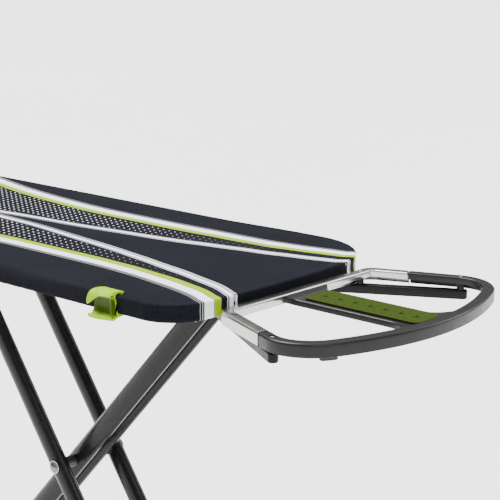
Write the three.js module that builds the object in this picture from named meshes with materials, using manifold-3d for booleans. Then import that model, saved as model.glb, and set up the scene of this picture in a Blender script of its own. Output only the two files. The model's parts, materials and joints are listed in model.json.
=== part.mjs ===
// Folding ironing board, standing open at its working height, in millimetres, +Z up.
// -X is the nose, +X the square tail with the iron rest, -Y the side with the cord clip.
// The origin is on the floor, under the middle of the whole object.
import * as THREE from 'three';
import { mergeVertices } from 'three/addons/utils/BufferGeometryUtils.js';
import Module from 'manifold-3d';

const wasm = await Module();
wasm.setup();

// ---------- driving dimensions ----------
const gap = 0.3;                   // between pieces that touch
const boardLength = 1220;          // nose tip to tail edge
const boardWidth = 380;
const workHeight = 900;            // floor to the top of the cover
const taperLength = 478;           // nose tip to where the sides run parallel
const tailCornerNear = 52;         // plan radius of the tail corner on the clip side
const tailCornerFar = 112;         // plan radius of the other tail corner
const tailBulge = 4;               // how far the middle of the tail edge stands out
const coverEdge = 21;              // height of the cover's side wall
const coverWall = 1.3;
const coverRound = 4;              // rounding of the cover's top and bottom edges
const hemWidth = 26;               // turned in under the board
const padThickness = 8;
const meshThickness = 1.2;
const rimWidth = 12;
const rimHeight = 6;
const holePitch = 78;              // of the diamond openings in the steel top, along X

const railY = 76;                  // middle of each slide rail
const railWidth = 18.6;
const railWall = 1.2;
const guideWall = 1.6;             // strip down the outer side of a rail, which guides the shoes
const guideDrop = 48;              // top of the cover to its foot
const railTail = 70;               // from the tail edge to the rails' tail ends
const railLength = 790;
const braceWidth = 26;
const braceThickness = 2;

const hingeInset = 116;            // tail edge to the inner legs' hinge
const hingeDrop = 42;              // top of the cover to the hinge and to the catch bar
const pivotDrop = 308;             // top of the cover to the crossing pivot
const innerAngle = 47.4;           // inner legs to the floor, degrees
const outerAngle = 54.8;           // outer legs to the floor, degrees
const innerLegY = 14.3;            // middle of each inner leg
const outerLegY = 48;              // middle of each outer leg
const tubeDeep = 28;               // oval leg tube across the leg, in its folding plane
const tubeThick = 18;              // oval leg tube along Y
const tubeWall = 1.2;
const tubeOverrun = 15;            // tube past its top pin

const pinRadius = 4;
const pinPlay = 0.4;               // running clearance round a pin
const rivetRadius = 7;
const rivetHeight = 3.8;
const catchRadius = 6;
const catchReach = 83.5;           // half length of the catch bar
const shoeRadius = 8;
const shoeLength = 13;
const shoePlay = 5;                // above the shoes, for the rise of the catch bar in mid fold
const earThickness = 2.4;          // of the hinge bracket and of the washers' seat
const earPlay = 1.3;

const footBarRadius = 11;
const footWall = 1.5;
const footArch = 15;               // rise of a foot bar from its ends to its middle
const footFlat = 66;               // half length of its level middle
const outerFootReach = 206;        // half width of the tail-side foot
const innerFootReach = 165;        // half width of the nose-side foot
const footCapRadius = 17;
const footCapLength = 46;
const footSole = 13;               // foot bar's end to the floor

const restReach = 212;             // tail edge to the outer edge of the iron rest
const restHalfWidth = 172.6;       // where its sides end and its corners begin
const restSideX = 111;             // tail edge to that place
const restSideSlope = 0.4;         // how fast its sides splay
const restFrontX = 179.8;          // tail edge to the ends of its bowed front
const restFrontHalf = 140;         // half width of that front
const restSidePull = 24.8;         // length of a corner curve's handle along its side
const restFrontPull = 0.215;       // share of the front curve's handle that it takes at its front
const lugRadius = 4;               // rubber lugs under the rest's front
const lugDepth = 19.5;
const lugEnds = [[167.2, 147.6], [173.3, 137.6]];  // tail edge and middle line to their two ends
const restRearX = 5.5;             // tail edge to the rest
const restRearRound = 14;
const restDrop = 10;               // top of the cover to the top of the rest
const restSkirt = 15;              // outer wall
const restInnerSkirt = 8;          // inner wall
const restBand = 14;               // width of the ring's top
const restWall = 2;
const bridgeHalf = 29;             // half width of the middle bridge
const bridgeDrop = 5;              // ring's top to the bridge's top
const carrierNear = 97;            // tail edge to the joint in the ring, clip side
const carrierFar = 55;             // the same on the other side
const padHalf = 22;
const padHeight = 2.4;
const strutWidth = 12;
const strutTop = 26;               // below the top of the cover
const strutBottom = 37;
const strutTail = 118;             // tail edge to the struts' outer ends
const strutHead = -56;             // tail edge to the struts' inner ends, under the board
const strutSlope = 0.56;           // how fast the struts splay, faster than the rest's sides
const restBraceX = -50;            // tail edge to the brace that carries the struts
const bossRadius = 4.4;
const slotX = 32;                  // tail edge to the oblong hole in the clip-side arm

const clipFromTail = 107;          // tail edge to the middle of the cord clip
const clipLength = 31;
const clipReach = 16;              // board's edge to the outermost point of the clip

const shaftFromTail = 330;         // tail edge to the release shaft
const shaftDrop = 33;
const shaftRadius = 3;
const rackThickness = 2.6;
const rackSide = 0.4;              // rail to the rack beside it
const rackPlay = 1.2;              // catch bar to the tips of the rack's teeth
const rackDepth = 12;
const notchPitch = 32;
const notchCount = 4;
const leverY = 138;
const leverBend = 22;
const leverFall = 0.1;             // slope of the lever, downwards to its grip
const gripOverlap = 14;            // of the grip past the lever's end
const leverReach = 150;            // release shaft to the end of its lever
const gripRadius = 8;
const gripLength = 78;

// ---------- places worked out from them ----------
const tail = (boardLength - restReach) / 2;
const nose = tail - boardLength;
const top = workHeight;
const rad = THREE.MathUtils.degToRad;
const pivotArm = pivotDrop - hingeDrop;
const hinge = new THREE.Vector3(tail - hingeInset, 0, top - hingeDrop);
const pivot = new THREE.Vector3(hinge.x - pivotArm / Math.tan(rad(innerAngle)), 0, top - pivotDrop);
const catchPoint = new THREE.Vector3(pivot.x - pivotArm / Math.tan(rad(outerAngle)), 0, hinge.z);
const footRise = footSole + footArch;                     // floor to the middle of a foot bar
const legDrop = pivot.z - footRise;
const innerFoot = new THREE.Vector3(pivot.x - legDrop / Math.tan(rad(innerAngle)), 0, footRise);
const outerFoot = new THREE.Vector3(pivot.x + legDrop / Math.tan(rad(outerAngle)), 0, footRise);
const foldAngle = 44.5;                                   // inner legs, open to folded
const armInner = hinge.distanceTo(pivot);
const armOuter = catchPoint.distanceTo(pivot);
const foldedInner = innerAngle - foldAngle;
const foldedOuter = THREE.MathUtils.radToDeg(Math.asin(armInner * Math.sin(rad(foldedInner)) / armOuter));
const foldedCatchX = hinge.x - armInner * Math.cos(rad(foldedInner)) - armOuter * Math.cos(rad(foldedOuter));

// ---------- solids ----------
function solid(geometry) {
  const bare = geometry.clone();
  bare.deleteAttribute('normal');
  bare.deleteAttribute('uv');
  const merged = mergeVertices(bare, 1e-4);
  return new wasm.Manifold(new wasm.Mesh({
    numProp: 3,
    vertProperties: new Float32Array(merged.attributes.position.array),
    triVerts: new Uint32Array(merged.index.array),
  }));
}

function surface(body) {
  const mesh = body.getMesh();
  const geometry = new THREE.BufferGeometry();
  geometry.setAttribute('position', new THREE.BufferAttribute(new Float32Array(mesh.vertProperties), 3));
  geometry.setIndex(new THREE.BufferAttribute(new Uint32Array(mesh.triVerts), 1));
  const flat = geometry.toNonIndexed();
  flat.computeVertexNormals();
  return flat;
}

const cut = (body, ...tools) => tools.reduce((left, tool) => left.subtract(tool), body);
const join = (body, ...more) => more.reduce((left, piece) => left.add(piece), body);

function boxAt(x0, x1, y0, y1, z0, z1) {
  const box = new THREE.BoxGeometry(x1 - x0, y1 - y0, z1 - z0);
  return solid(box.translate((x0 + x1) / 2, (y0 + y1) / 2, (z0 + z1) / 2));
}

// A cylinder along Y from y0 to y1.
function rodY(radius, y0, y1, x = 0, z = 0, sides = 20) {
  const rod = new THREE.CylinderGeometry(radius, radius, y1 - y0, sides);
  return solid(rod.translate(x, (y0 + y1) / 2, z));
}

// A cylinder along Z from z0 to z1.
function rodZ(radius, z0, z1, x = 0, y = 0, sides = 16) {
  const rod = new THREE.CylinderGeometry(radius, radius, z1 - z0, sides).rotateX(Math.PI / 2);
  return solid(rod.translate(x, y, (z0 + z1) / 2));
}

// An outline in the XY plane, extruded from z0 to z1; round turns its top and bottom edges over.
function prism(points, z0, z1, round = 0) {
  const depth = z1 - z0 - 2 * round;
  const options = round
    ? { depth, bevelThickness: round, bevelSize: round, bevelOffset: -round, bevelSegments: 2 }
    : { depth, bevelEnabled: false };
  const body = new THREE.ExtrudeGeometry(new THREE.Shape(points), options);
  return solid(body.translate(0, 0, z0 + round));
}

// An outline of (x, z) points, extruded along Y from y0 to y1.
function slabY(points, y0, y1) {
  const shape = new THREE.Shape(points.map(([x, z]) => new THREE.Vector2(x, z)));
  const body = new THREE.ExtrudeGeometry(shape, { depth: y1 - y0, bevelEnabled: false });
  return solid(body.rotateX(Math.PI / 2).translate(0, y1, 0));
}

// An outline of (y, z) points, extruded along X from x0 to x1.
function barX(shape, x0, x1) {
  const turn = new THREE.Matrix4().makeBasis(
    new THREE.Vector3(0, 1, 0), new THREE.Vector3(0, 0, 1), new THREE.Vector3(1, 0, 0));
  const body = new THREE.ExtrudeGeometry(shape, { depth: x1 - x0, bevelEnabled: false });
  return solid(body.applyMatrix4(turn).translate(x0, 0, 0));
}

// A shape with holes, each outline turned the way round that an extrusion needs.
function holed(points, holes) {
  const turned = (list, clockwise) => (
    THREE.ShapeUtils.isClockWise(list) === clockwise ? list : list.reverse());
  const shape = new THREE.Shape(turned(points, false));
  shape.holes = holes.map((hole) => new THREE.Path(turned(hole, true)));
  return shape;
}

function disc(radiusX, radiusY) {
  const shape = new THREE.Shape();
  shape.absellipse(0, 0, radiusX, radiusY, 0, 2 * Math.PI);
  return shape;
}

function ring(radiusX, radiusY, wall) {
  const shape = disc(radiusX, radiusY);
  shape.holes.push(disc(radiusX - wall, radiusY - wall));
  return shape;
}

// Moves each corner of a closed outline inwards by the same distance.
function inset(points, distance) {
  const count = points.length;
  return points.map((point, i) => {
    const before = points[(i + count - 1) % count];
    const after = points[(i + 1) % count];
    const a = point.clone().sub(before).normalize();
    const b = after.clone().sub(point).normalize();
    const along = a.clone().add(b).normalize();
    const reach = distance / along.dot(b);
    return new THREE.Vector2(point.x - along.y * reach, point.y + along.x * reach);
  });
}

function cornersOf(path, divisions) {
  return path.getPoints(divisions).filter((p, i, all) => i === 0 || p.distanceTo(all[i - 1]) > 1e-3);
}

function isInside(points, x, y) {
  let within = false;
  points.forEach((a, i) => {
    const b = points[(i + 1) % points.length];
    const crosses = (a.y > y) !== (b.y > y);
    if (crosses && x < a.x + (y - a.y) * (b.x - a.x) / (b.y - a.y)) within = !within;
  });
  return within;
}

// ---------- materials ----------
function finish(color, roughness, metalness) {
  return new THREE.MeshStandardMaterial({ color, roughness, metalness });
}

const finishes = {
  fabric: () => finish(0x2b2c33, 0.9, 0),
  felt: () => finish(0x8c8c88, 1, 0),
  darkPaint: () => finish(0x3c3c40, 0.4, 0.6),
  steel: () => finish(0xc9c9c6, 0.35, 1),
  zinc: () => finish(0x9a9a98, 0.45, 0.9),
  darkPlastic: () => finish(0x26262a, 0.55, 0),
  rubber: () => finish(0x1c1c1e, 0.85, 0),
  lime: () => finish(0x9cc21e, 0.45, 0),
  limeSilicone: () => finish(0x6f8f1c, 0.7, 0),
};

const model = new THREE.Group();

function group(parent, x = 0, y = 0, z = 0) {
  const child = new THREE.Group();
  child.position.set(x, y, z);
  parent.add(child);
  return child;
}

function add(parent, name, body, look, place = {}) {
  const mesh = new THREE.Mesh(surface(body), finishes[look]());
  mesh.name = name;
  mesh.position.set(place.x ?? 0, place.y ?? 0, place.z ?? 0);
  mesh.rotation.y = place.turn ?? 0;
  parent.add(mesh);
}

const sides = [['near', -1], ['far', 1]];

// ---------- board: cover, pad, steel top, rim ----------
function boardOutline() {
  const half = boardWidth / 2;
  const shoulder = nose + taperLength;
  const outline = new THREE.Path();
  outline.moveTo(tail, tailCornerNear - half);
  const bulgeY = (tailCornerNear - tailCornerFar) / 2;
  outline.quadraticCurveTo(tail + 2 * tailBulge, bulgeY, tail, half - tailCornerFar);
  outline.absarc(tail - tailCornerFar, half - tailCornerFar, tailCornerFar, 0, Math.PI / 2);
  outline.lineTo(shoulder, half);
  const noseCurves = [[0, 1], [178, 1], [348, 0.674], [418, 0.463], [453, 0.358], [478, 0.21], [478, 0]];
  const [, a, b, c, d, e, tip] = noseCurves.map(([back, share]) => [shoulder - back, half * share]);
  outline.bezierCurveTo(...a, ...b, ...c);
  outline.bezierCurveTo(...d, ...e, ...tip);
  const under = ([x, y]) => [x, -y];
  outline.bezierCurveTo(...under(e), ...under(d), ...under(c));
  outline.bezierCurveTo(...under(b), ...under(a), shoulder, -half);
  outline.lineTo(tail - tailCornerNear, -half);
  outline.absarc(tail - tailCornerNear, tailCornerNear - half, tailCornerNear, -Math.PI / 2, 0);
  return cornersOf(outline, 6).slice(0, -1);
}

const outline = boardOutline();
const padTop = -coverWall - gap;
const meshTop = padTop - padThickness - gap;
const rimTop = meshTop - meshThickness - gap;
const meshOutline = inset(outline, coverWall + gap + 1);
const rimInner = inset(meshOutline, rimWidth);
const railTop = rimTop - braceThickness - gap;
const railFloor = -hingeDrop + shoeRadius + shoePlay;      // the face that the shoes run under

const board = group(model, 0, 0, top);

function coverBody() {
  const outer = prism(outline, -coverEdge, 0, coverRound);
  const inner = prism(inset(outline, coverWall), coverWall - coverEdge, -coverWall, coverRound - coverWall);
  const opening = prism(inset(outline, hemWidth), -coverEdge - 1, coverWall - coverEdge + 1);
  return cut(outer, inner, opening);
}

function steelTopBody() {
  const holes = [];
  const bounds = inset(meshOutline, rimWidth + 4);
  const rowPitch = holePitch * 0.62;
  const reachX = holePitch * 0.38;
  const reachY = rowPitch * 0.36;
  const rows = Math.floor(boardWidth / rowPitch / 2) + 1;
  const columns = Math.floor(boardLength / holePitch) + 1;
  for (let row = -rows; row <= rows; row += 1) {
    for (let column = 0; column <= columns; column += 1) {
      const x = nose + (column + (row % 2 ? 0.5 : 0)) * holePitch;
      const y = row * rowPitch;
      const corners = [[reachX, 0], [0, -reachY], [-reachX, 0], [0, reachY]];
      const hole = corners.map(([dx, dy]) => new THREE.Vector2(x + dx, y + dy));
      if (hole.every((corner) => isInside(bounds, corner.x, corner.y))) holes.push(hole);
    }
  }
  const sheet = holed([...meshOutline], holes);
  const body = new THREE.ExtrudeGeometry(sheet, { depth: meshThickness, bevelEnabled: false });
  return solid(body.translate(0, 0, meshTop - meshThickness));
}

function rimBody() {
  const body = prism(meshOutline, rimTop - rimHeight, rimTop);
  return cut(body, prism(rimInner, rimTop - rimHeight - 1, rimTop + 1));
}

function braceBody(x, width) {
  const bar = boxAt(x - width / 2, x + width / 2, -boardWidth, boardWidth, rimTop - braceThickness, rimTop);
  return bar.intersect(prism(inset(rimInner, gap), rimTop - 2 * braceThickness, rimTop + 1));
}

// A rail is a box tube that the slide shoes run under.
function railBody(side) {
  const tube = (wall) => [-1, 1].flatMap((edge) => {
    const y = side * (railY + edge * (railWidth / 2 - wall));
    const ends = [new THREE.Vector2(y, railFloor + wall), new THREE.Vector2(y, railTop - wall)];
    return edge < 0 ? ends : ends.reverse();
  });
  const x1 = tail - railTail;
  const body = barX(holed(tube(0), [tube(railWall)]), x1 - railLength, x1);
  const outer = side * (railY + railWidth / 2);
  return cut(body, rodY(shaftRadius + pinPlay, outer - 4, outer + 4, shaftX, -shaftDrop));
}

function railGuideBody(side) {
  const inner = railY + railWidth / 2 + gap;
  const [y0, y1] = [side * inner, side * (inner + guideWall)].sort((a, b) => a - b);
  const x1 = tail - railTail;
  const strip = boxAt(x1 - railLength, x1, y0, y1, -guideDrop, railTop);
  return cut(strip, rodY(shaftRadius + pinPlay, y0 - 1, y1 + 1, shaftX, -shaftDrop));
}

const shaftX = tail - shaftFromTail;
add(board, 'cover', coverBody(), 'fabric');
const padOutline = inset(outline, coverWall + gap);
add(board, 'pad', prism(padOutline, padTop - padThickness, padTop, coverRound - coverWall), 'felt');
add(board, 'steel_top', steelTopBody(), 'zinc');
add(board, 'rim', rimBody(), 'zinc');
add(board, 'brace_rest', braceBody(tail + restBraceX, braceWidth), 'zinc');
add(board, 'brace_hinge', braceBody(hinge.x, 1.6 * braceWidth), 'zinc');
add(board, 'brace_middle', braceBody(catchPoint.x + 2 * braceWidth, braceWidth), 'zinc');
add(board, 'brace_nose', braceBody(foldedCatchX, braceWidth), 'zinc');
sides.forEach(([side, sign]) => {
  add(board, `slide_rail_${side}`, railBody(sign), 'zinc');
  add(board, `rail_guide_${side}`, railGuideBody(sign), 'zinc');
});

// ---------- hinge of the inner legs ----------
const innerFace = innerLegY + tubeThick / 2;               // outer faces of the inner pair
const earY = innerFace + earPlay;

function hingeBracketBody() {
  const baseTop = railTop;
  const baseBottom = baseTop - earThickness;
  const reach = earY + earThickness;
  const halfBase = 24;
  const eye = 9;
  const base = boxAt(hinge.x - halfBase, hinge.x + halfBase, -reach, reach, baseBottom, baseTop);
  const profile = [
    [hinge.x - halfBase, baseTop - 1], [hinge.x - halfBase, baseBottom - 3], [hinge.x - eye, -hingeDrop],
    [hinge.x + eye, -hingeDrop], [hinge.x + halfBase, baseBottom - 3], [hinge.x + halfBase, baseTop - 1]];
  const ears = [-reach, earY].map((y0) => slabY(profile, y0, y0 + earThickness)
    .add(rodY(eye, y0, y0 + earThickness, hinge.x, -hingeDrop, 24)));
  const bore = rodY(pinRadius + gap, -reach - 1, reach + 1, hinge.x, -hingeDrop);
  return cut(join(base, ...ears), bore);
}

function hingePinBody() {
  const reach = earY + earThickness + gap;
  const heads = [-reach - 2.4, reach].map((y0) => rodY(1.6 * pinRadius, y0, y0 + 2.4));
  return join(rodY(pinRadius, -reach - 1, reach + 1), ...heads);
}

add(board, 'hinge_bracket', hingeBracketBody(), 'zinc');
add(model, 'hinge_pin', hingePinBody(), 'zinc', hinge);

// ---------- leg tubes ----------
// The tube stands along its own Z from the middle of its foot bar; pins cross it along Y.
function legTubeBody(length, pins) {
  const section = ring(tubeDeep / 2, tubeThick / 2, tubeWall);
  const options = { depth: length + tubeOverrun, bevelEnabled: false, curveSegments: 8 };
  const tube = solid(new THREE.ExtrudeGeometry(section, options));
  const holes = pins.map(([at, radius]) => rodY(radius, -tubeThick, tubeThick, 0, at, 14));
  return cut(tube, rodY(footBarRadius + gap, -tubeThick, tubeThick, 0, 0, 24), ...holes);
}

function plugBody() {
  const cap = new THREE.ExtrudeGeometry(disc(tubeDeep / 2, tubeThick / 2), {
    depth: 1, bevelThickness: 1.5, bevelSize: 1.5, bevelOffset: -1.5, bevelSegments: 1, curveSegments: 8 });
  const fit = tubeWall + gap;
  const stub = new THREE.ExtrudeGeometry(disc(tubeDeep / 2 - fit, tubeThick / 2 - fit), {
    depth: 7, bevelEnabled: false, curveSegments: 6 });
  return join(solid(cap.translate(0, 0, 1.5 + gap)), solid(stub.translate(0, 0, 1 - 7)));
}

function sleeveBody(y0, y1, radius) {
  return cut(rodY(radius, y0, y1), rodY(pinRadius + gap, y0 - 1, y1 + 1));
}

function addLegs(parent, label, foot, topPin, legY, pivotPin, topPinRadius) {
  const length = foot.distanceTo(topPin);
  const turn = Math.atan2(topPin.x - foot.x, topPin.z - foot.z);
  const pins = [[foot.distanceTo(pivot), pivotPin], [length, topPinRadius]];
  sides.forEach(([side, sign]) => {
    const body = legTubeBody(length, pins);
    add(parent, `${label}_leg_${side}`, body, 'darkPaint', { x: foot.x, y: sign * legY, z: foot.z, turn });
    const end = foot.clone().lerp(topPin, (length + tubeOverrun) / length);
    const plugAt = { x: end.x, y: sign * legY, z: end.z, turn };
    add(parent, `${label}_leg_plug_${side}`, plugBody(), 'darkPlastic', plugAt);
  });
}

// ---------- feet ----------
class FootCurve extends THREE.Curve {
  constructor(half) {
    super();
    this.half = half;
  }

  getPoint(t, target = new THREE.Vector3()) {
    const y = (2 * t - 1) * this.half;
    const share = Math.max(0, (Math.abs(y) - footFlat) / (this.half - footFlat));
    return target.set(0, y, footSole + footArch * (1 + Math.cos(Math.PI * share)) / 2);
  }
}

function footBar(half, shape) {
  const path = new FootCurve(half);
  return solid(new THREE.ExtrudeGeometry(shape, { steps: 14, extrudePath: path, curveSegments: 6 }));
}

function footCapBody(reach, sign) {
  const r = footCapRadius;
  const profile = [[0, 0], [r - 2, 0], [r, 2], [r, footCapLength - 12], [r - 2, footCapLength - 4],
    [r - 7, footCapLength], [0, footCapLength]].map(([x, y]) => new THREE.Vector2(x, y));
  const turned = new THREE.LatheGeometry(profile, 18).translate(0, reach - footCapLength, footSole);
  const body = solid(turned);
  const barEnd = reach - 8;
  const socket = footBar(barEnd + gap, disc(footBarRadius + gap, footBarRadius + gap));
  const cap = cut(body, socket, boxAt(-2 * r, 2 * r, 0, 2 * reach, -2 * r, 0));
  return sign > 0 ? cap : cap.mirror([0, 1, 0]);
}

function addFoot(parent, label, foot, reach) {
  const bar = footBar(reach - 8, ring(footBarRadius, footBarRadius, footWall));
  add(parent, `${label}_foot_bar`, bar, 'darkPaint', { x: foot.x });
  sides.forEach(([side, sign]) => {
    add(parent, `${label}_foot_cap_${side}`, footCapBody(reach, sign), 'rubber', { x: foot.x });
  });
}

// ---------- inner leg frame ----------
const innerFrame = group(model);
addLegs(innerFrame, 'inner', innerFoot, hinge, innerLegY, pinRadius + gap, pinRadius + pinPlay);
addFoot(innerFrame, 'inner', innerFoot, innerFootReach);
const innerGap = innerLegY - tubeThick / 2 - gap;
const outerFace = outerLegY + tubeThick / 2;
add(innerFrame, 'hinge_sleeve', sleeveBody(-innerGap, innerGap, 7), 'zinc', hinge);
add(innerFrame, 'pivot_sleeve_middle', sleeveBody(-innerGap, innerGap, 7), 'zinc', pivot);

function pivotAxleBody() {
  const seat = outerFace + 1 + 2 * gap;
  const ball = (rivetRadius ** 2 + rivetHeight ** 2) / (2 * rivetHeight);
  const dome = new THREE.SphereGeometry(ball, 20, 16).rotateX(Math.PI / 2);
  const head = solid(dome.translate(0, seat + rivetHeight - ball, 0))
    .intersect(boxAt(-ball, ball, seat, seat + ball, -ball, ball));
  return join(rodY(pinRadius, -seat - 1, seat + 1), head, head.mirror([0, 1, 0]));
}

add(innerFrame, 'pivot_axle', pivotAxleBody(), 'zinc', pivot);

// ---------- outer leg frame ----------
const outerFrame = group(model);
addLegs(outerFrame, 'outer', outerFoot, catchPoint, outerLegY, pinRadius + pinPlay, catchRadius + gap);
addFoot(outerFrame, 'outer', outerFoot, outerFootReach);
add(outerFrame, 'catch_bar', rodY(catchRadius, -catchReach, catchReach), 'zinc', catchPoint);
sides.forEach(([side, sign]) => {
  const y0 = railY - shoeLength / 2;
  const y1 = y0 + shoeLength;
  const shoe = cut(rodY(shoeRadius, y0, y1), rodY(catchRadius + gap, y0 - 1, y1 + 1));
  add(outerFrame, `slide_shoe_${side}`, sign > 0 ? shoe : shoe.mirror([0, 1, 0]), 'darkPlastic', catchPoint);
  const spacerStart = innerFace + gap;
  const spacer = sleeveBody(spacerStart, outerLegY - tubeThick / 2 - gap, 8);
  add(innerFrame, `pivot_sleeve_${side}`, sign > 0 ? spacer : spacer.mirror([0, 1, 0]), 'darkPlastic', pivot);
  const washer = sleeveBody(outerFace + gap, outerFace + gap + 1, 9);
  add(outerFrame, `pivot_washer_${side}`, sign > 0 ? washer : washer.mirror([0, 1, 0]), 'zinc', pivot);
});

// ---------- height rack, release lever and its bearings ----------
const rackTop = -hingeDrop - catchRadius - rackPlay;
const rackY = railY - (railWidth + rackThickness) / 2 - rackSide;

function rackBody() {
  const end = foldedCatchX - 2 * rackDepth;
  const shoulder = catchPoint.x + rackDepth;
  const [y0, y1] = [rackY - rackThickness / 2, rackY + rackThickness / 2];
  const plate = slabY([
    [shaftX, 5 - shaftDrop], [shoulder, rackTop], [end, rackTop], [end, rackTop - rackDepth],
    [shoulder, rackTop - rackDepth], [shaftX, -5 - shaftDrop]], y0, y1);
  const eye = rodY(7, y0, y1, shaftX, -shaftDrop, 24);
  const settings = Array.from({ length: notchCount }, (_, i) => catchPoint.x - i * notchPitch);
  const notches = [...settings, foldedCatchX].map((x) => rodY(catchRadius + 0.6, 0, 2 * rackY, x, rackTop));
  return cut(join(plate, eye), rodY(shaftRadius + gap, 0, 2 * rackY, shaftX, -shaftDrop), ...notches);
}

// One bent rod: across the board as the shaft, then back along it as the lever.
function leverBody() {
  const start = new THREE.Vector3(0, -railY - railWidth / 2 + railWall + 1, 0);
  const bendStart = new THREE.Vector3(0, leverY - leverBend, 0);
  const corner = new THREE.Vector3(0, leverY, 0);
  const bendEnd = new THREE.Vector3(leverBend, leverY, -leverBend * leverFall);
  const end = new THREE.Vector3(leverReach, leverY, -leverReach * leverFall);
  const path = new THREE.CurvePath();
  path.add(new THREE.LineCurve3(start, bendStart));
  path.add(new THREE.QuadraticBezierCurve3(bendStart, corner, bendEnd));
  path.add(new THREE.LineCurve3(bendEnd, end));
  const section = disc(shaftRadius, shaftRadius);
  return solid(new THREE.ExtrudeGeometry(section, { steps: 30, extrudePath: path, curveSegments: 4 }));
}

function gripBody() {
  const straight = gripLength - 2 * gripRadius;
  const capsule = new THREE.CapsuleGeometry(gripRadius, straight, 4, 16).rotateZ(-Math.PI / 2);
  const bore = new THREE.CylinderGeometry(shaftRadius + gap, shaftRadius + gap, gripLength, 16);
  bore.rotateZ(-Math.PI / 2).translate(-gripLength / 2 - 14, 0, 0);
  return cut(solid(capsule.translate(-gripLength / 2 + 14, 0, 0)), solid(bore.translate(14, 0, 0)));
}

// A saddle that holds the shaft up against the rail above it.
function bearingBody() {
  const play = shaftRadius + pinPlay;
  const half = railWidth / 2 - 2 * railWall;
  const block = boxAt(-9, 9, -half, half, -shaftRadius - 4, shaftDrop + railFloor - gap);
  const slot = boxAt(-play, play, -railWidth, railWidth, 0, shaftDrop);
  return cut(block, rodY(play, -railWidth, railWidth), slot);
}

class SpringCurve extends THREE.Curve {
  getPoint(t, target = new THREE.Vector3()) {
    const turn = 2 * Math.PI * 4.5 * t;
    const radius = shaftRadius + 2;
    return target.set(radius * Math.cos(turn), 12 * t, radius * Math.sin(turn));
  }
}

function springBody() {
  const section = disc(0.9, 0.9);
  const sweep = { steps: 44, extrudePath: new SpringCurve(), curveSegments: 3 };
  return solid(new THREE.ExtrudeGeometry(section, sweep));
}

const releaseLever = group(model, shaftX, 0, top - shaftDrop);
add(releaseLever, 'release_lever', leverBody(), 'zinc');
add(releaseLever, 'lever_grip', gripBody(), 'lime',
  { x: leverReach, y: leverY, z: -leverReach * leverFall, turn: Math.atan(leverFall) });
sides.forEach(([side, sign]) => {
  const rack = rackBody().translate([-shaftX, 0, shaftDrop]);
  add(releaseLever, `height_rack_${side}`, sign > 0 ? rack : rack.mirror([0, 1, 0]), 'zinc');
  const seat = { x: shaftX, y: sign * (railY - railWall), z: top - shaftDrop };
  add(model, `shaft_bearing_${side}`, bearingBody(), 'darkPlastic', seat);
});
add(model, 'lever_spring', springBody(), 'steel',
  { x: shaftX, y: railY + railWidth / 2 + guideWall + 3, z: top - shaftDrop });

// ---------- iron rest ----------
const rest = group(model, tail, 0, top - restDrop);
const restSideY = (x) => restHalfWidth - (restSideX - x) * restSideSlope;

function restOutline() {
  const round = restRearRound;
  const path = new THREE.Path();
  const handle = restSideX + restSidePull;
  const frontHandle = [
    restFrontX - 2 * (restReach - restFrontX) * restFrontPull, restFrontHalf * (1 + restFrontPull)];
  path.moveTo(restRearX, round - restSideY(restRearX));
  path.quadraticCurveTo(restRearX, -restSideY(restRearX), restRearX + round, -restSideY(restRearX + round));
  path.lineTo(restSideX, -restHalfWidth);
  path.bezierCurveTo(handle, -restSideY(handle), frontHandle[0], -frontHandle[1], restFrontX, -restFrontHalf);
  path.quadraticCurveTo(2 * restReach - restFrontX, 0, restFrontX, restFrontHalf);
  path.bezierCurveTo(...frontHandle, handle, restSideY(handle), restSideX, restHalfWidth);
  path.lineTo(restRearX + round, restSideY(restRearX + round));
  path.quadraticCurveTo(restRearX, restSideY(restRearX), restRearX, restSideY(restRearX) - round);
  return cornersOf(path, 8);
}

const restEdge = restOutline();

// The ring is a channel, open below, with a tall outer wall and a short inner one.
function ringBody() {
  const body = prism(restEdge, -restSkirt, 0, 1.2);
  const opening = prism(inset(restEdge, restBand), -2 * restSkirt, restSkirt);
  const wide = inset(restEdge, restWall);
  const low = prism(wide, -2 * restSkirt, -restInnerSkirt);
  const core = prism(inset(restEdge, restBand - restWall), -restSkirt, 0);
  const channel = cut(prism(wide, -restInnerSkirt - 1, -restWall), core);
  return cut(body, opening, low, channel);
}

const armY = (x) => restSideY(x) - restBand / 2 * Math.hypot(1, restSideSlope);
const strutY = (x) => armY(strutTail) - (strutTail - x) * strutSlope;
const screwPlaces = [restRearX + restBand / 2, strutTail - 2];
const screwSpots = sides.flatMap(([side, sign]) => (
  screwPlaces.map((x, i) => [`${side}_${i + 1}`, x, sign * strutY(x)])));
const screwHoles = screwSpots.map(([, x, y]) => rodZ(3.6, -restWall - 1, 1, x, y));

function slotTool() {
  const ends = [slotX - 3, slotX + 3].map((x) => rodZ(2.2, -restWall - 1, 1, x, -armY(x), 12));
  return wasm.Manifold.hull(ends);
}

function carrierBody() {
  const keep = join(boxAt(-9, carrierNear, -300, 0, -50, 50), boxAt(-9, carrierFar, 0, 300, -50, 50));
  return cut(ringBody().intersect(keep), slotTool(), ...screwHoles);
}

function trayBody() {
  const x0 = restRearX + restBand + gap;
  const front = restReach;
  const thickness = 2.6;
  const flange = 7;
  const nearSide = boxAt(carrierNear + gap, 300, -300, 0, -50, 50);
  const farSide = boxAt(carrierFar + gap, 300, 0, 300, -50, 50);
  const keep = join(nearSide, farSide);
  const deck = boxAt(x0, front, -bridgeHalf, bridgeHalf, -bridgeDrop - thickness, -bridgeDrop);
  const flanges = [-bridgeHalf, bridgeHalf - restWall]
    .map((y0) => boxAt(x0, front, y0, y0 + restWall, -bridgeDrop - flange, -bridgeDrop));
  const bridge = join(deck, ...flanges).intersect(prism(inset(restEdge, restWall / 2), -restSkirt, 0));
  return cut(join(ringBody().intersect(keep), bridge), ...screwHoles);
}

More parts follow.
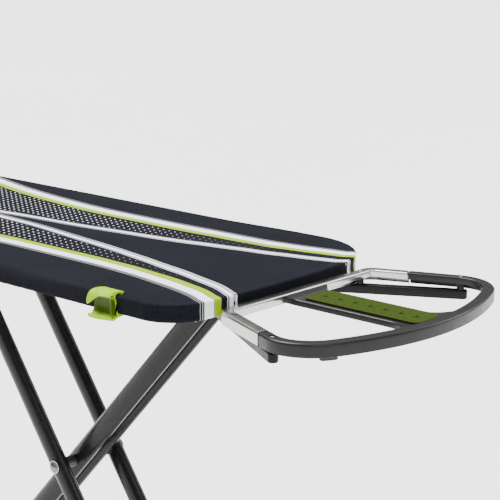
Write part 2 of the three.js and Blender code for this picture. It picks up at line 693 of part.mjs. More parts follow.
function siliconePadBody() {
  const x0 = restRearX + restBand + 14;
  const x1 = restReach - restBand - 6;
  const corner = 8;
  const shape = new THREE.Path();
  shape.moveTo(x0 + corner, -padHalf);
  shape.absarc(x1 - corner, corner - padHalf, corner, -Math.PI / 2, 0);
  shape.absarc(x1 - corner, padHalf - corner, corner, 0, Math.PI / 2);
  shape.absarc(x0 + corner, padHalf - corner, corner, Math.PI / 2, Math.PI);
  shape.absarc(x0 + corner, corner - padHalf, corner, Math.PI, 1.5 * Math.PI);
  const body = prism(cornersOf(shape, 4).slice(0, -1), gap - bridgeDrop, gap - bridgeDrop + padHeight);
  const holes = [];
  for (let column = 0; column < 6; column += 1) {
    for (let row = -1; row <= 1; row += 1) {
      holes.push(rodZ(2.2, -bridgeDrop, 1, x0 + 16 + column * 24, row * 13, 8));
    }
  }
  return cut(body, ...holes);
}

// Each strut runs out under the rest, with bosses up to the board's brace and to the ring.
function strutBody(sign) {
  const at = (x) => new THREE.Vector2(x, sign * strutY(x));
  const across = new THREE.Vector2(-sign * strutSlope, 1).normalize().multiplyScalar(strutWidth / 2);
  const [start, end] = [at(strutHead), at(strutTail)];
  const corners = [
    start.clone().sub(across), end.clone().sub(across),
    end.clone().add(across), start.clone().add(across)];
  const under = (depth) => restDrop - depth;
  const bar = prism(corners, under(strutBottom), under(strutTop));
  const tip = rodZ(strutWidth / 2, under(strutBottom), under(strutTop), end.x, end.y, 16);
  const lift = (x, z1) => rodZ(bossRadius, under(strutTop) - 1, z1, x, sign * strutY(x));
  const bosses = screwPlaces.map((x) => lift(x, -restWall - gap - 0.6));
  const bores = screwPlaces.map((x) => rodZ(2.3, under(strutTop) + 0.5, 0, x, sign * strutY(x), 12));
  const post = lift(restBraceX, rimTop - braceThickness - gap + restDrop);
  return cut(join(bar, tip, post, ...bosses), ...bores);
}

// A rubber lug fills the front rail's channel on each side and hangs below it.
const lugBody = (sign) => wasm.Manifold.hull(
  lugEnds.map(([x, y]) => rodZ(lugRadius, -lugDepth, -restWall - gap, x, sign * y)));

const screwBody = () => join(rodZ(3.2, -2.4, -0.8), rodZ(2, -13, -2));

add(rest, 'rest_carrier', carrierBody(), 'steel');
add(rest, 'rest_tray', trayBody(), 'darkPlastic');
add(rest, 'rest_silicone_pad', siliconePadBody(), 'limeSilicone');
sides.forEach(([side, sign]) => add(rest, `rest_strut_${side}`, strutBody(sign), 'darkPaint'));
sides.forEach(([side, sign]) => add(rest, `rest_lug_${side}`, lugBody(sign), 'rubber'));
screwSpots.forEach(([label, x, y]) => add(rest, `rest_screw_${label}`, screwBody(), 'zinc', { x, y }));

// ---------- cord clip ----------
// The section grips the board's edge and opens outwards as a hook for the iron's cord. Its upper
// arm is a finger: it reaches furthest at the nose end and is cut back in a curve at the tail end.
function clipBody() {
  const grip = 0.4;
  const below = -coverEdge - grip;
  const lip = clipReach - 1;
  const section = [
    [-14, grip], [-14, 1.8], [-6, 3.6], [3, 4], [10, 2.4], [clipReach - 1, -2],
    [clipReach, -8], [clipReach - 3, -10.5], [clipReach - 4, -5], [7.5, -0.6], [4.6, -2.5],
    [3, -8], [3, -16], [6, -22], [lip - 3, -24.4], [lip, -22.5],
    [lip + 1, -25], [lip - 3, -28], [7, -27.6], [0, below - 3.4],
    [-10, below - 3], [-11, below], [grip, below], [grip, grip]];
  const shape = new THREE.Shape(section.map(([out, z]) => new THREE.Vector2(-out, z)));
  const half = clipLength / 2;
  const relief = new THREE.Path();
  relief.moveTo(half + 1, -3);
  relief.quadraticCurveTo(-half * 0.4, -6, -half * 0.5, -clipReach - 2);
  relief.lineTo(half + 1, -clipReach - 2);
  const away = prism(cornersOf(relief, 8), -12, 9);
  return cut(barX(shape, -half, half), away);
}

const clip = group(model, tail - clipFromTail, -boardWidth / 2, top);
add(clip, 'cord_clip', clipBody(), 'lime');

export default model;
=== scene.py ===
"""Folding ironing board: the finished surfaces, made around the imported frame.

Everything is in metres, in the frame's own axes: -X is the nose, +X the square tail with the iron
rest, -Y the side with the cord clip and +Z is up from the floor.
"""
import json
import math

import bmesh
import bpy
import numpy as np
from bpy.props import FloatProperty, FloatVectorProperty, IntProperty, PointerProperty
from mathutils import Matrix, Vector

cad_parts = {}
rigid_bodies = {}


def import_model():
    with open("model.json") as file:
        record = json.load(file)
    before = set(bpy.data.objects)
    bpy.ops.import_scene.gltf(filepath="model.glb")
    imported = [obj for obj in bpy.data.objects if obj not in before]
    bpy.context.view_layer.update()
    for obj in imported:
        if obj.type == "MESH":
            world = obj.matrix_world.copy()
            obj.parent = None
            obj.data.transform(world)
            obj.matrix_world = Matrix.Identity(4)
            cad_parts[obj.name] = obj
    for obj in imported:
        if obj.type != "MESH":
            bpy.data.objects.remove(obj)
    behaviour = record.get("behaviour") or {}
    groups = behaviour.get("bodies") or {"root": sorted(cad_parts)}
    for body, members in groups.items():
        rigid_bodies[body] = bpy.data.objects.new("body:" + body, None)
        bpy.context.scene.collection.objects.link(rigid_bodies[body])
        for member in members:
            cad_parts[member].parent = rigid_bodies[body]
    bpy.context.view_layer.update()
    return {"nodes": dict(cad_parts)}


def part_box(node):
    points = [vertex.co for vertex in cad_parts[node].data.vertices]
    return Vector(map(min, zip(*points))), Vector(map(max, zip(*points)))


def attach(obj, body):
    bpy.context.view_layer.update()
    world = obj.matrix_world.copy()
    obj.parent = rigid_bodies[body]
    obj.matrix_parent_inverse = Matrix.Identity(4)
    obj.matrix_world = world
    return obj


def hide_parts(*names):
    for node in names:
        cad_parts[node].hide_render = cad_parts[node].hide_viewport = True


bl_info = {
    "name": "Folding ironing board",
    "version": (1, 0, 0),
    "blender": (4, 5, 0),
    "location": "View3D > Sidebar > Ironing board",
    "description": "Makes the fabric, metal and moulded pieces of a folding ironing board",
    "category": "Add Mesh",
}

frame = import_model()

# ---------- places taken from the frame ----------
COVER_LOW, COVER_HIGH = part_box("cover")
PAD_LOW, PAD_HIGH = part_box("pad")
RIM_LOW, RIM_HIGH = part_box("rim")
STEEL_LOW, STEEL_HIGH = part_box("steel_top")
TAIL_BULGE = 0.004  # how far the middle of the tail edge stands out
TAIL = COVER_HIGH.x - TAIL_BULGE
NOSE = COVER_LOW.x
TOP = COVER_HIGH.z
HALF = COVER_HIGH.y
REST_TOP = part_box("rest_carrier")[1].z
PIVOT, HINGE, CATCH, SHAFT = (
    (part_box(name)[0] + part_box(name)[1]) / 2
    for name in ("pivot_axle", "hinge_pin", "catch_bar", "shaft_bearing_near"))
SIDES = (("near", -1), ("far", 1))


# ---------- settings that a user would change ----------
class CoverSettings(bpy.types.PropertyGroup):
    corner_near: FloatProperty(
        name="Near corner", description="Plan radius of the tail corner beside the clip",
        default=0.052, min=0.02, max=0.12, unit="LENGTH")
    corner_far: FloatProperty(
        name="Far corner", description="Plan radius of the other tail corner",
        default=0.112, min=0.02, max=0.15, unit="LENGTH")
    taper: FloatProperty(
        name="Taper", description="Length of the nose, where the sides draw together",
        default=0.478, min=0.3, max=0.7, unit="LENGTH")
    hem: FloatProperty(
        name="Hem", description="Cloth turned in under the board",
        default=0.026, min=0.01, max=0.05, unit="LENGTH")
    dot_pitch: FloatProperty(
        name="Dot pitch", description="Distance between printed dots along the board",
        default=0.01035, min=0.004, max=0.03, unit="LENGTH")
    cloth: FloatVectorProperty(
        name="Cloth", description="Ground colour of the print",
        default=(0.0056, 0.0058, 0.0080), size=3, subtype="COLOR", min=0, max=1)
    white: FloatVectorProperty(
        name="White", description="Colour of the light stripes and dots",
        default=(0.78, 0.79, 0.84), size=3, subtype="COLOR", min=0, max=1)
    green: FloatVectorProperty(
        name="Green", description="Colour of the green stripes",
        default=(0.24, 0.35, 0.0), size=3, subtype="COLOR", min=0, max=1)


class FrameSettings(bpy.types.PropertyGroup):
    tube_deep: FloatProperty(
        name="Tube depth", description="Oval leg tube across the leg, in its folding plane",
        default=0.028, min=0.015, max=0.05, unit="LENGTH")
    tube_thick: FloatProperty(
        name="Tube thickness", description="Oval leg tube across the board",
        default=0.018, min=0.01, max=0.04, unit="LENGTH")
    paint: FloatVectorProperty(
        name="Leg paint", description="Colour of the legs' powder coat",
        default=(0.0105, 0.0100, 0.0096), size=3, subtype="COLOR", min=0, max=1)
    lime: FloatVectorProperty(
        name="Lime plastic", description="Colour of the clip and the lever's grip",
        default=(0.25, 0.46, 0.0), size=3, subtype="COLOR", min=0, max=1)


class RestSettings(bpy.types.PropertyGroup):
    band: FloatProperty(
        name="Ring width", description="Width of the iron rest's ring, seen from above",
        default=0.014, min=0.008, max=0.03, unit="LENGTH")
    skirt: FloatProperty(
        name="Ring skirt", description="Height of the ring's outer wall",
        default=0.015, min=0.008, max=0.04, unit="LENGTH")
    tray: FloatVectorProperty(
        name="Tray", description="Colour of the dark part of the ring",
        default=(0.0070, 0.0068, 0.0068), size=3, subtype="COLOR", min=0, max=1)
    silicone: FloatVectorProperty(
        name="Silicone", description="Colour of the pad that the iron stands on",
        default=(0.022, 0.038, 0.0008), size=3, subtype="COLOR", min=0, max=1)


class StageSettings(bpy.types.PropertyGroup):
    lens: FloatProperty(
        name="Lens", description="Focal length on a 36 mm sensor", default=109.3, min=20, max=300)
    floor: FloatVectorProperty(
        name="Floor", description="Colour of the studio floor",
        default=(0.94, 0.94, 0.94), size=3, subtype="COLOR", min=0, max=1)
    glow: FloatProperty(
        name="Surround", description="Strength of the studio's ceiling", default=2.0, min=0, max=5)
    fine: IntProperty(
        name="Round steps", description="Steps round a turned piece", default=48, min=12, max=128)


SETTINGS = {"cover": CoverSettings, "metal": FrameSettings, "rest": RestSettings, "stage": StageSettings}


# ---------- materials ----------
class Recipe:
    """A material's nodes: a node's input is either a value or another node's output."""

    def __init__(self, name, colour, roughness, metallic=0.0, **sockets):
        self.material = bpy.data.materials.new(name)
        self.material.use_nodes = True
        self.tree = self.material.node_tree
        self.shader = self.tree.nodes["Principled BSDF"]
        self.shader.inputs["Base Color"].default_value = (*colour, 1)
        self.shader.inputs["Roughness"].default_value = roughness
        self.shader.inputs["Metallic"].default_value = metallic
        for socket, value in sockets.items():
            self.shader.inputs[socket.replace("_", " ")].default_value = value

    def put(self, socket, value):
        if isinstance(value, bpy.types.NodeSocket):
            self.tree.links.new(value, socket)
        else:
            socket.default_value = value

    def node(self, kind, inputs=(), **settings):
        made = self.tree.nodes.new("ShaderNode" + kind)
        for name, value in settings.items():
            setattr(made, name, value)
        for key, value in dict(inputs).items():
            self.put(made.inputs[key], value)
        return made

    def math(self, operation, *values):
        made = self.node("Math", operation=operation)
        for i, value in enumerate(values):
            self.put(made.inputs[i], value)
        return made.outputs[0]

    def place(self):
        """The point on the piece in the frame's axes, as a vector output."""
        return self.node("TexCoord").outputs["Object"]

    def noise(self, scale, detail=3.0, stretch=None):
        """Even noise, or noise drawn out along an axis by a small scale there."""
        vector = self.place()
        if stretch:
            vector = self.node("Mapping", {"Vector": vector, "Scale": stretch}).outputs[0]
        made = self.node("TexNoise", {"Vector": vector, "Scale": scale, "Detail": detail})
        return made.outputs["Fac"]

    def mix(self, share, a, b):
        made = self.node("Mix", data_type="RGBA")
        for socket, value in ((0, share), (6, a), (7, b)):
            if isinstance(value, tuple) and len(value) == 3:
                value = (*value, 1)
            self.put(made.inputs[socket], value)
        return made.outputs[2]

    def ramp(self, value, low, high, out_low=0.0, out_high=1.0):
        made = self.node("MapRange", {"Value": value, "From Min": low, "From Max": high,
                                      "To Min": out_low, "To Max": out_high},
                         interpolation_type="SMOOTHSTEP")
        return made.outputs[0]

    def band(self, value, low, high, soft):
        """1 where low < value < high, with soft edges."""
        rise = self.ramp(value, low - soft, low + soft)
        fall = self.ramp(value, high - soft, high + soft, 1.0, 0.0)
        return self.math("MULTIPLY", rise, fall)

    def bump(self, height, depth, strength=1.0):
        made = self.node("Bump", {"Height": height, "Distance": depth, "Strength": strength})
        self.tree.links.new(made.outputs[0], self.shader.inputs["Normal"])

    def mottle(self, colour, scale, amount, stretch=None, detail=3.0):
        """Base colour that varies by a share of itself with the noise."""
        dark = tuple(c * (1 - amount) for c in colour)
        light = tuple(min(1, c * (1 + amount)) for c in colour)
        mixed = self.mix(self.ramp(self.noise(scale, detail, stretch), 0.3, 0.7), dark, light)
        self.tree.links.new(mixed, self.shader.inputs["Base Color"])

    def vary_roughness(self, scale, low, high, stretch=None):
        self.tree.links.new(self.ramp(self.noise(scale, 4.0, stretch), 0.3, 0.7, low, high),
                            self.shader.inputs["Roughness"])


def painted(name, colour, roughness=0.25):
    """Satin powder coat: a faint orange peel and slightly uneven gloss."""
    made = Recipe(name, colour, roughness, metallic=0.16, Coat_Weight=0.03, Coat_Roughness=0.10,
                  Specular_IOR_Level=0.13)
    made.mottle(colour, 9.0, 0.10)
    made.vary_roughness(60.0, roughness - 0.05, roughness + 0.06)
    made.bump(made.noise(320.0, 1.0), 0.00002, 0.12)
    return made.material


def brushed(name, colour, roughness, grain):
    """Satin metal: fine lines along the grain, which has a small scale along its own axis."""
    made = Recipe(name, colour, roughness, metallic=1.0)
    made.mottle(colour, 700.0, 0.06, grain)
    made.vary_roughness(500.0, roughness - 0.05, roughness + 0.07, grain)
    made.bump(made.noise(1400.0, 2.0, grain), 0.00002, 0.5)
    return made.material


def zinc_plate():
    """Zinc-plated steel: soft spangles of two tones, with dull patches."""
    made = Recipe("zinc_plate", (0.33, 0.34, 0.35), 0.42, metallic=0.9)
    spangle = made.node("TexVoronoi", {"Vector": made.place(), "Scale": 160.0}).outputs["Color"]
    tone = made.node("SeparateColor", {"Color": spangle}).outputs[0]
    mixed = made.mix(tone, (0.26, 0.27, 0.28), (0.40, 0.41, 0.42))
    made.tree.links.new(mixed, made.shader.inputs["Base Color"])
    made.vary_roughness(30.0, 0.34, 0.52)
    made.bump(made.noise(500.0, 3.0), 0.00003, 0.4)
    return made.material


def moulded(name, colour, roughness, grain_scale=1600.0, grain_depth=0.00003, **sockets):
    """Moulded plastic or rubber: an even spark-eroded grain."""
    made = Recipe(name, colour, roughness, **sockets)
    made.mottle(colour, 25.0, 0.08)
    made.vary_roughness(120.0, max(0.05, roughness - 0.06), roughness + 0.06)
    made.bump(made.noise(grain_scale, 2.0), grain_depth, 0.6)
    return made.material


def felt_cloth():
    """Needled felt: tangled fibres, flecked with dark and light ones."""
    made = Recipe("felt_cloth", (0.36, 0.36, 0.34), 0.95, Sheen_Weight=0.4, Sheen_Roughness=0.6)
    fleck = made.noise(900.0, 5.0, (1.0, 0.35, 1.0))
    mixed = made.mix(made.ramp(fleck, 0.35, 0.68), (0.20, 0.20, 0.19), (0.50, 0.50, 0.47))
    made.tree.links.new(mixed, made.shader.inputs["Base Color"])
    made.bump(made.noise(700.0, 6.0), 0.0005, 0.7)
    return made.material


def silicone_rubber(colour):
    """Ribbed silicone, with painted shade: darker the further it lies below its top, as in the holes between
    its studs.
    """
    made = Recipe("lime_silicone", colour, 0.60, Specular_IOR_Level=0.06)
    depth = made.node("SeparateXYZ", {"Vector": made.place()}).outputs["Z"]
    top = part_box("rest_silicone_pad")[1].z
    # painted shade: below its top the silicone darkens to 8 % of its colour, down in the holes
    painted_shade_depth = made.ramp(depth, top - 0.0022, top - 0.0012)
    mixed = made.mix(painted_shade_depth, tuple(c * 0.08 for c in colour), colour)
    made.tree.links.new(mixed, made.shader.inputs["Base Color"])
    made.bump(made.noise(1200.0, 3.0), 0.00005, 0.5)
    return made.material


def clip_plastic(colour):
    """The clip's lime plastic, a little translucent, with painted shade darkening the inside of its channel.
    """
    made = Recipe("clip_lime", colour, 0.34, Subsurface_Weight=0.10, Subsurface_Scale=0.004,
                  Specular_IOR_Level=0.08)
    point = made.node("SeparateXYZ", {"Vector": made.place()})
    # painted shade: inside the channel the lime is darkened to 13 % of itself, where shade falls
    inside = made.band(point.outputs["Y"], -HALF - 0.0105, -HALF - 0.0012, 0.0014)
    deep = made.math("MULTIPLY", inside, made.band(point.outputs["Z"], TOP - 0.0225, TOP - 0.0030, 0.0026))
    grained = made.mix(made.ramp(made.noise(25.0), 0.3, 0.7), tuple(c * 0.9 for c in colour), colour)
    mixed = made.mix(deep, grained, tuple(c * 0.13 for c in colour))
    made.tree.links.new(mixed, made.shader.inputs["Base Color"])
    made.vary_roughness(120.0, 0.28, 0.40)
    made.bump(made.noise(1600.0, 2.0), 0.00003, 0.5)
    return made.material


INK_EDGE = 0.0004  # softness of a printed edge
WEAVE = 0.0009  # pitch of the threads
DOT_ROW = 0.00955  # distance between the rows of dots
DASH, DASH_GAP = 0.0042, 0.42  # pitch of the hatched stripe's dashes, and the share left open


def printed_cloth(settings):
    """Woven cotton with the printed stripes and dots.

    The map "print" holds, in metres, how far a point is outside the inner stripe (U) and outside
    the line between the green and the white band (V). The dots are a lattice on the board's plane.
    """
    cloth, white, green = (tuple(c) for c in (settings.cloth, settings.white, settings.green))
    made = Recipe("printed_cloth", cloth, 0.85, Sheen_Weight=0.015, Sheen_Roughness=0.5,
                  Specular_IOR_Level=0.03)
    made.shader.inputs["Sheen Tint"].default_value = (0.7, 0.76, 1.0, 1)
    stripes = made.node("SeparateXYZ", {"Vector": made.node("UVMap", uv_map="print").outputs[0]})
    inner, outer = stripes.outputs["X"], stripes.outputs["Y"]
    point = made.node("SeparateXYZ", {"Vector": made.place()})
    x, y, z = (point.outputs[axis] for axis in "XYZ")

    def cell(value, pitch):
        """How far a value is from the middle of its cell, in metres."""
        share = made.math("FRACT", made.math("DIVIDE", value, pitch))
        return made.math("MULTIPLY", made.math("SUBTRACT", share, 0.5), pitch)

    across = made.math("POWER", cell(y, DOT_ROW), 2.0)
    lean = made.math("MULTIPLY", y, 0.25)
    along = made.math("POWER", cell(made.math("ADD", x, lean), settings.dot_pitch), 2.0)
    radius = made.ramp(x, TAIL - 0.06, TAIL - 0.50, 0.0006, 0.0014)
    away = made.math("SUBTRACT", made.math("SQRT", made.math("ADD", across, along)), radius)
    dots = made.ramp(away, INK_EDGE, -INK_EDGE)
    dots = made.math("MULTIPLY", dots, made.ramp(inner, 0.0095, 0.0115))
    dots = made.math("MULTIPLY", dots, made.ramp(outer, -0.0125, -0.0145))
    dots = made.math("MULTIPLY", dots, made.ramp(z, TOP - 0.004, TOP - 0.002))
    dots = made.math("MULTIPLY", dots, made.ramp(x, TAIL - 0.04, TAIL - 0.40, 0.12, 0.85))

    dash = made.math("GREATER_THAN", made.math("FRACT", made.math("DIVIDE", x, DASH)), DASH_GAP)
    hatch = made.math("MULTIPLY", made.band(inner, -0.0088, -0.0042, INK_EDGE), dash)
    near_tail = made.ramp(x, TAIL - 0.45, TAIL - 0.10, 0.25, 0.8)
    lights = [(made.band(inner, -0.0030, 0.0034, INK_EDGE), 1.0), (hatch, near_tail),
              (made.band(inner, 0.0054, 0.0066, INK_EDGE), near_tail),
              (made.band(outer, 0.0006, 0.0148, INK_EDGE), 1.0),
              (made.band(outer, 0.0168, 0.0180, INK_EDGE), 0.36),
              (made.band(outer, 0.0202, 0.0214, INK_EDGE), 0.26), (dots, 1.0)]
    ink = None
    for mask, share in lights:
        weighted = made.math("MULTIPLY", mask, share)
        ink = weighted if ink is None else made.math("MAXIMUM", ink, weighted)

    fleck = made.ramp(made.noise(420.0, 4.0), 0.3, 0.7)
    worn = made.ramp(made.noise(14.0, 3.0), 0.3, 0.7, 0.0, 0.35)
    ground = made.mix(fleck, tuple(c * 0.68 for c in cloth), tuple(c * 1.32 for c in cloth))
    ground = made.mix(worn, ground, tuple(c * 1.7 for c in cloth))
    greened = made.mix(made.band(outer, -0.0105, -0.0002, INK_EDGE), ground, green)
    coloured = made.mix(ink, greened, white)
    made.tree.links.new(coloured, made.shader.inputs["Base Color"])

    warp = made.math("SINE", made.math("MULTIPLY", x, 2 * math.pi / WEAVE))
    weft = made.math("SINE", made.math("MULTIPLY", y, 2 * math.pi / WEAVE))
    threads = made.math("MULTIPLY", made.math("MULTIPLY", warp, weft), 0.5)
    height = made.math("ADD", threads, made.noise(260.0, 4.0))
    made.bump(height, 0.00012, 0.55)
    return made.material


MATERIALS = {}


def make_materials():
    """Fills MATERIALS with every finish of the board, under its own name."""
    scene = bpy.context.scene
    metal, rest = scene.metal, scene.rest
    lime = tuple(metal.lime)
    MATERIALS.update(
        printed_cloth=printed_cloth(scene.cover),
        felt_cloth=felt_cloth(),
        leg_paint=painted("leg_paint", tuple(metal.paint)),
        strut_paint=painted("strut_paint", (0.005, 0.005, 0.0052), 0.34),
        bright_steel=brushed("bright_steel", (0.46, 0.45, 0.43), 0.20, (1.0, 0.03, 1.0)),
        zinc_plate=zinc_plate(),
        rivet_chrome=brushed("rivet_chrome", (0.16, 0.16, 0.165), 0.20, (1.0, 1.0, 1.0)),
        dark_mould=moulded("dark_mould", (0.012, 0.012, 0.013), 0.45),
        tray_mould=moulded("tray_mould", tuple(rest.tray), 0.34, Specular_IOR_Level=0.22),
        foot_rubber=moulded("foot_rubber", (0.010, 0.010, 0.011), 0.72, 900.0, 0.00008),
        lime_mould=moulded("lime_mould", lime, 0.32, Subsurface_Weight=0.08, Subsurface_Scale=0.004),
        clip_lime=clip_plastic(lime),
        lime_silicone=silicone_rubber(tuple(rest.silicone)),
    )


# ---------- mesh work ----------
def grid_faces(rows, columns, close_rows=False, close_columns=False):
    """Quads between neighbouring points of a grid that is stored row by row."""
    row = np.arange(rows if close_rows else rows - 1)
    column = np.arange(columns if close_columns else columns - 1)
    r, c = (a.ravel() for a in np.meshgrid(row, column, indexing="ij"))
    below, right = (r + 1) % rows, (c + 1) % columns
    return np.stack([r * columns + c, r * columns + right, below * columns + right, below * columns + c], 1)


def as_mesh(name, points, faces, recalculate=False, sharp=math.radians(38)):
    """A smooth-shaded mesh with its doubled points merged and edges over the angle kept sharp."""
    mesh = bpy.data.meshes.new(name)
    points = np.asarray(points, float).reshape(-1, 3)
    mesh.from_pydata(points.tolist(), [], [list(map(int, face)) for face in faces])
    work = bmesh.new()
    work.from_mesh(mesh)
    bmesh.ops.remove_doubles(work, verts=work.verts, dist=2e-6)
    bmesh.ops.dissolve_degenerate(work, edges=work.edges, dist=1e-7)
    if recalculate:
        bmesh.ops.recalc_face_normals(work, faces=work.faces)
    work.to_mesh(mesh)
    work.free()
    mesh.shade_smooth()
    mesh.set_sharp_from_angle(angle=sharp)
    return mesh


def finish_piece(name, mesh, material, body, stands_for=()):
    """A piece with its material, on the body it moves with and in place of the frame's plain one."""
    piece = bpy.data.objects.new(name, mesh)
    bpy.context.scene.collection.objects.link(piece)
    mesh.materials.append(MATERIALS[material])
    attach(piece, body)
    if stands_for:
        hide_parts(*([stands_for] if isinstance(stands_for, str) else stands_for))
    return piece


def add_solid(name, points, faces, material, body, stands_for=(), slot=None, **shading):
    """A closed piece whose faces are turned outwards."""
    mesh = as_mesh(name, points, faces, recalculate=True, **shading)
    return finish_piece(name, mesh, material, body, stands_for)


def several(parts):
    """Points and faces of several grids as one list of each."""
    points, faces, start = [], [], 0
    for part_points, part_faces in parts:
        flat = np.asarray(part_points, float).reshape(-1, 3)
        points.append(flat)
        faces.extend([[int(i) + start for i in f] for f in part_faces])
        start += len(flat)
    return np.concatenate(points), faces


def swept(path, across, upward, section, closed=False, capped=True):
    """A section carried along a path: path point + across * section u + upward * section v.

    path, across and upward are arrays of n points, section an array of m (u, v), or n by m by 2
    where it changes along the path. An open sweep is closed at its ends by fans to their middles.
    """
    path, across, upward = (np.asarray(a, float) for a in (path, across, upward))
    section = np.broadcast_to(np.asarray(section, float), (len(path), *np.shape(section)[-2:]))
    rings = (path[:, None] + across[:, None] * section[..., :1] + upward[:, None] * section[..., 1:])
    if not closed and capped:
        first, last = (np.broadcast_to(rings[i].mean(0), rings[i].shape) for i in (0, -1))
        rings = np.concatenate([first[None], rings, last[None]])
    return rings, grid_faces(len(rings), rings.shape[1], close_rows=closed, close_columns=True)


def oval(a, b, count, power=2.0):
    """Points of a superellipse with half axes a and b."""
    turn = np.linspace(0, 2 * math.pi, count, endpoint=False)
    c, s = np.cos(turn), np.sin(turn)
    bend = 2.0 / power
    return np.stack([a * np.sign(c) * np.abs(c) ** bend, b * np.sign(s) * np.abs(s) ** bend], 1)


def turned(profile, centre, axis="Y", steps=None):
    """A profile of (radius, height) turned round an axis through a point; it starts and ends on it."""
    steps = steps or bpy.context.scene.stage.fine
    turn = np.linspace(0, 2 * math.pi, steps, endpoint=False)
    radius, height = np.asarray(profile, float).T
    a = radius[:, None] * np.cos(turn)
    b = radius[:, None] * np.sin(turn)
    h = np.broadcast_to(height[:, None], a.shape)
    order = {"Y": (a, h, -b), "Z": (a, b, h), "X": (h, a, b)}[axis]
    return np.stack(order, -1) + np.asarray(centre, float), grid_faces(len(radius), steps, close_columns=True)


def arc(centre, radius, start, end, count):
    """Points on an arc, its angles in degrees."""
    turn = np.radians(np.linspace(start, end, count))
    return np.stack([centre[0] + radius * np.cos(turn), centre[1] + radius * np.sin(turn)], 1)


def along(points, count, closed=False):
    """Evenly spaced points along a line of points."""
    line = np.asarray(points, float)
    if closed:
        line = np.concatenate([line, line[:1]])
    run = np.concatenate([[0], np.cumsum(np.linalg.norm(np.diff(line, axis=0), axis=1))])
    at = np.linspace(0, run[-1], count, endpoint=not closed)
    return np.stack([np.interp(at, run, line[:, k]) for k in range(line.shape[1])], 1)


def bezier(a, b, c, d, count=60):
    """Points on a cubic curve from a to d with handles b and c."""
    t = np.linspace(0, 1, count)[:, None]
    a, b, c, d = (np.asarray(p, float) for p in (a, b, c, d))
    return (1 - t) ** 3 * a + 3 * (1 - t) ** 2 * t * b + 3 * (1 - t) * t**2 * c + t**3 * d


def conic(a, b, c, count=60):
    """Points on a quadratic curve from a to c with the handle b."""
    a, b, c = (np.asarray(p, float) for p in (a, b, c))
    return bezier(a, a + (b - a) * 2 / 3, c + (b - c) * 2 / 3, c, count)


def smooth_through(knots, x):
    """A smooth line through a few (x, value) knots: cubic pieces with the neighbours' slopes."""
    kx, ky = np.asarray(knots, float).T
    slope = np.gradient(ky, kx)
    i = np.clip(np.searchsorted(kx, x) - 1, 0, len(kx) - 2)
    width = kx[i + 1] - kx[i]
    t = np.clip((x - kx[i]) / width, -3, 3)
    ends = ky[i] * (1 + 2 * t) * (1 - t) ** 2 + ky[i + 1] * t * t * (3 - 2 * t)
    inside = ends + width * (slope[i] * t * (1 - t) ** 2 + slope[i + 1] * t * t * (t - 1))
    before, after = ky[0] + (x - kx[0]) * slope[0], ky[-1] + (x - kx[-1]) * slope[-1]
    return np.where(x < kx[0], before, np.where(x > kx[-1], after, inside))


def inward(points):
    """Unit vectors that point to the inside of a closed line which runs anticlockwise."""
    step = np.roll(points, -1, 0) - np.roll(points, 1, 0)
    step /= np.linalg.norm(step, axis=1, keepdims=True)
    return np.stack([-step[:, 1], step[:, 0]], 1)


# ---------- board outline ----------
SPINE = (NOSE + 0.10, TAIL - 0.13)  # ends of the middle line that the rows of the cloth run to
NOSE_STEPS, SIDE_STEPS, TAIL_STEPS = 110, 190, 80


def board_edge():
    """Plan of the board's edge, anticlockwise from the nose tip.

    The parts are the nose's curves, the straight side, the corner's arc and the bowed tail. Both
    halves are stepped alike along X, so that the cloth's rows meet on the middle line.
    """
    cover = bpy.context.scene.cover
    shoulder = NOSE + cover.taper
    # The nose is two cubic curves, by distance back from the shoulder and share of the half width.
    back_and_share = ((0, 1), (0.178, 1), (0.348, 0.674), (0.418, 0.463),
                      (0.453, 0.358), (0.478, 0.21), (0.478, 0))
    knots = [np.array([shoulder - back, HALF * share]) for back, share in back_and_share]
    nose = np.concatenate([bezier(*knots[:4]), bezier(*knots[3:])[1:]])[::-1]
    near, far = cover.corner_near, cover.corner_far
    tail = conic((TAIL, near - HALF), (TAIL + 2 * TAIL_BULGE, (near - far) / 2), (TAIL, HALF - far), 200)
    line = np.concatenate([
        nose * (1, -1), arc((TAIL - near, near - HALF), near, -90, 0, 60), tail[1:],
        arc((TAIL - far, HALF - far), far, 0, 90, 60)[1:], nose[::-1]])
    run = np.concatenate([[0], np.cumsum(np.linalg.norm(np.diff(line, axis=0), axis=1))])
    middle = np.interp(0, tail[:, 1], np.interp(tail[:, 1], line[60:-60, 1], run[60:-60]))
    halves = []
    for start, end in ((0, middle), (run[-1], middle)):
        s = np.linspace(start, end, 4000)
        x = np.interp(s, run, line[:, 0])
        first, last = (s[np.argmax(x >= limit)] for limit in SPINE)
        side_x = np.linspace(*SPINE, SIDE_STEPS, endpoint=False)
        inside = (x >= SPINE[0] - 0.01) & (x <= SPINE[1] + 0.01)
        on_side = np.interp(side_x, x[inside], s[inside])
        halves.append(np.concatenate([
            np.linspace(start, first, NOSE_STEPS, endpoint=False), on_side,
            np.linspace(last, end, TAIL_STEPS, endpoint=False)]))
    s = np.concatenate([halves[0], [middle], halves[1][:0:-1]])
    return np.stack([np.interp(s, run, line[:, k]) for k in range(2)], 1)


def edge_rings(edge, steps):
    """Rings at a distance in from the edge and a height, for each of the steps (distance, height)."""
    turn = inward(edge)
    rings = []
    for distance, height in steps:
        plan = edge + turn * np.reshape(distance, (-1, 1))
        rings.append(np.column_stack([plan, np.broadcast_to(height, len(edge))]))
    return rings


def to_spine(ring, count, height):
    """Rings from one ring to the board's middle line, where both sides meet; height(x, y) lifts them."""
    spine = np.column_stack([np.clip(ring[:, 0], *SPINE), np.zeros(len(ring))])
    share = np.linspace(0, 1, count + 1)[1:, None, None]
    plan = ring[None, :, :2] * (1 - share) + spine[None] * share
    lifted = height(plan[..., 0], plan[..., 1])
    fade = np.clip(share[..., 0] * 3, 0, 1)
    return list(np.concatenate([plan, (ring[None, :, 2] * (1 - fade) + lifted * fade)[..., None]], -1))


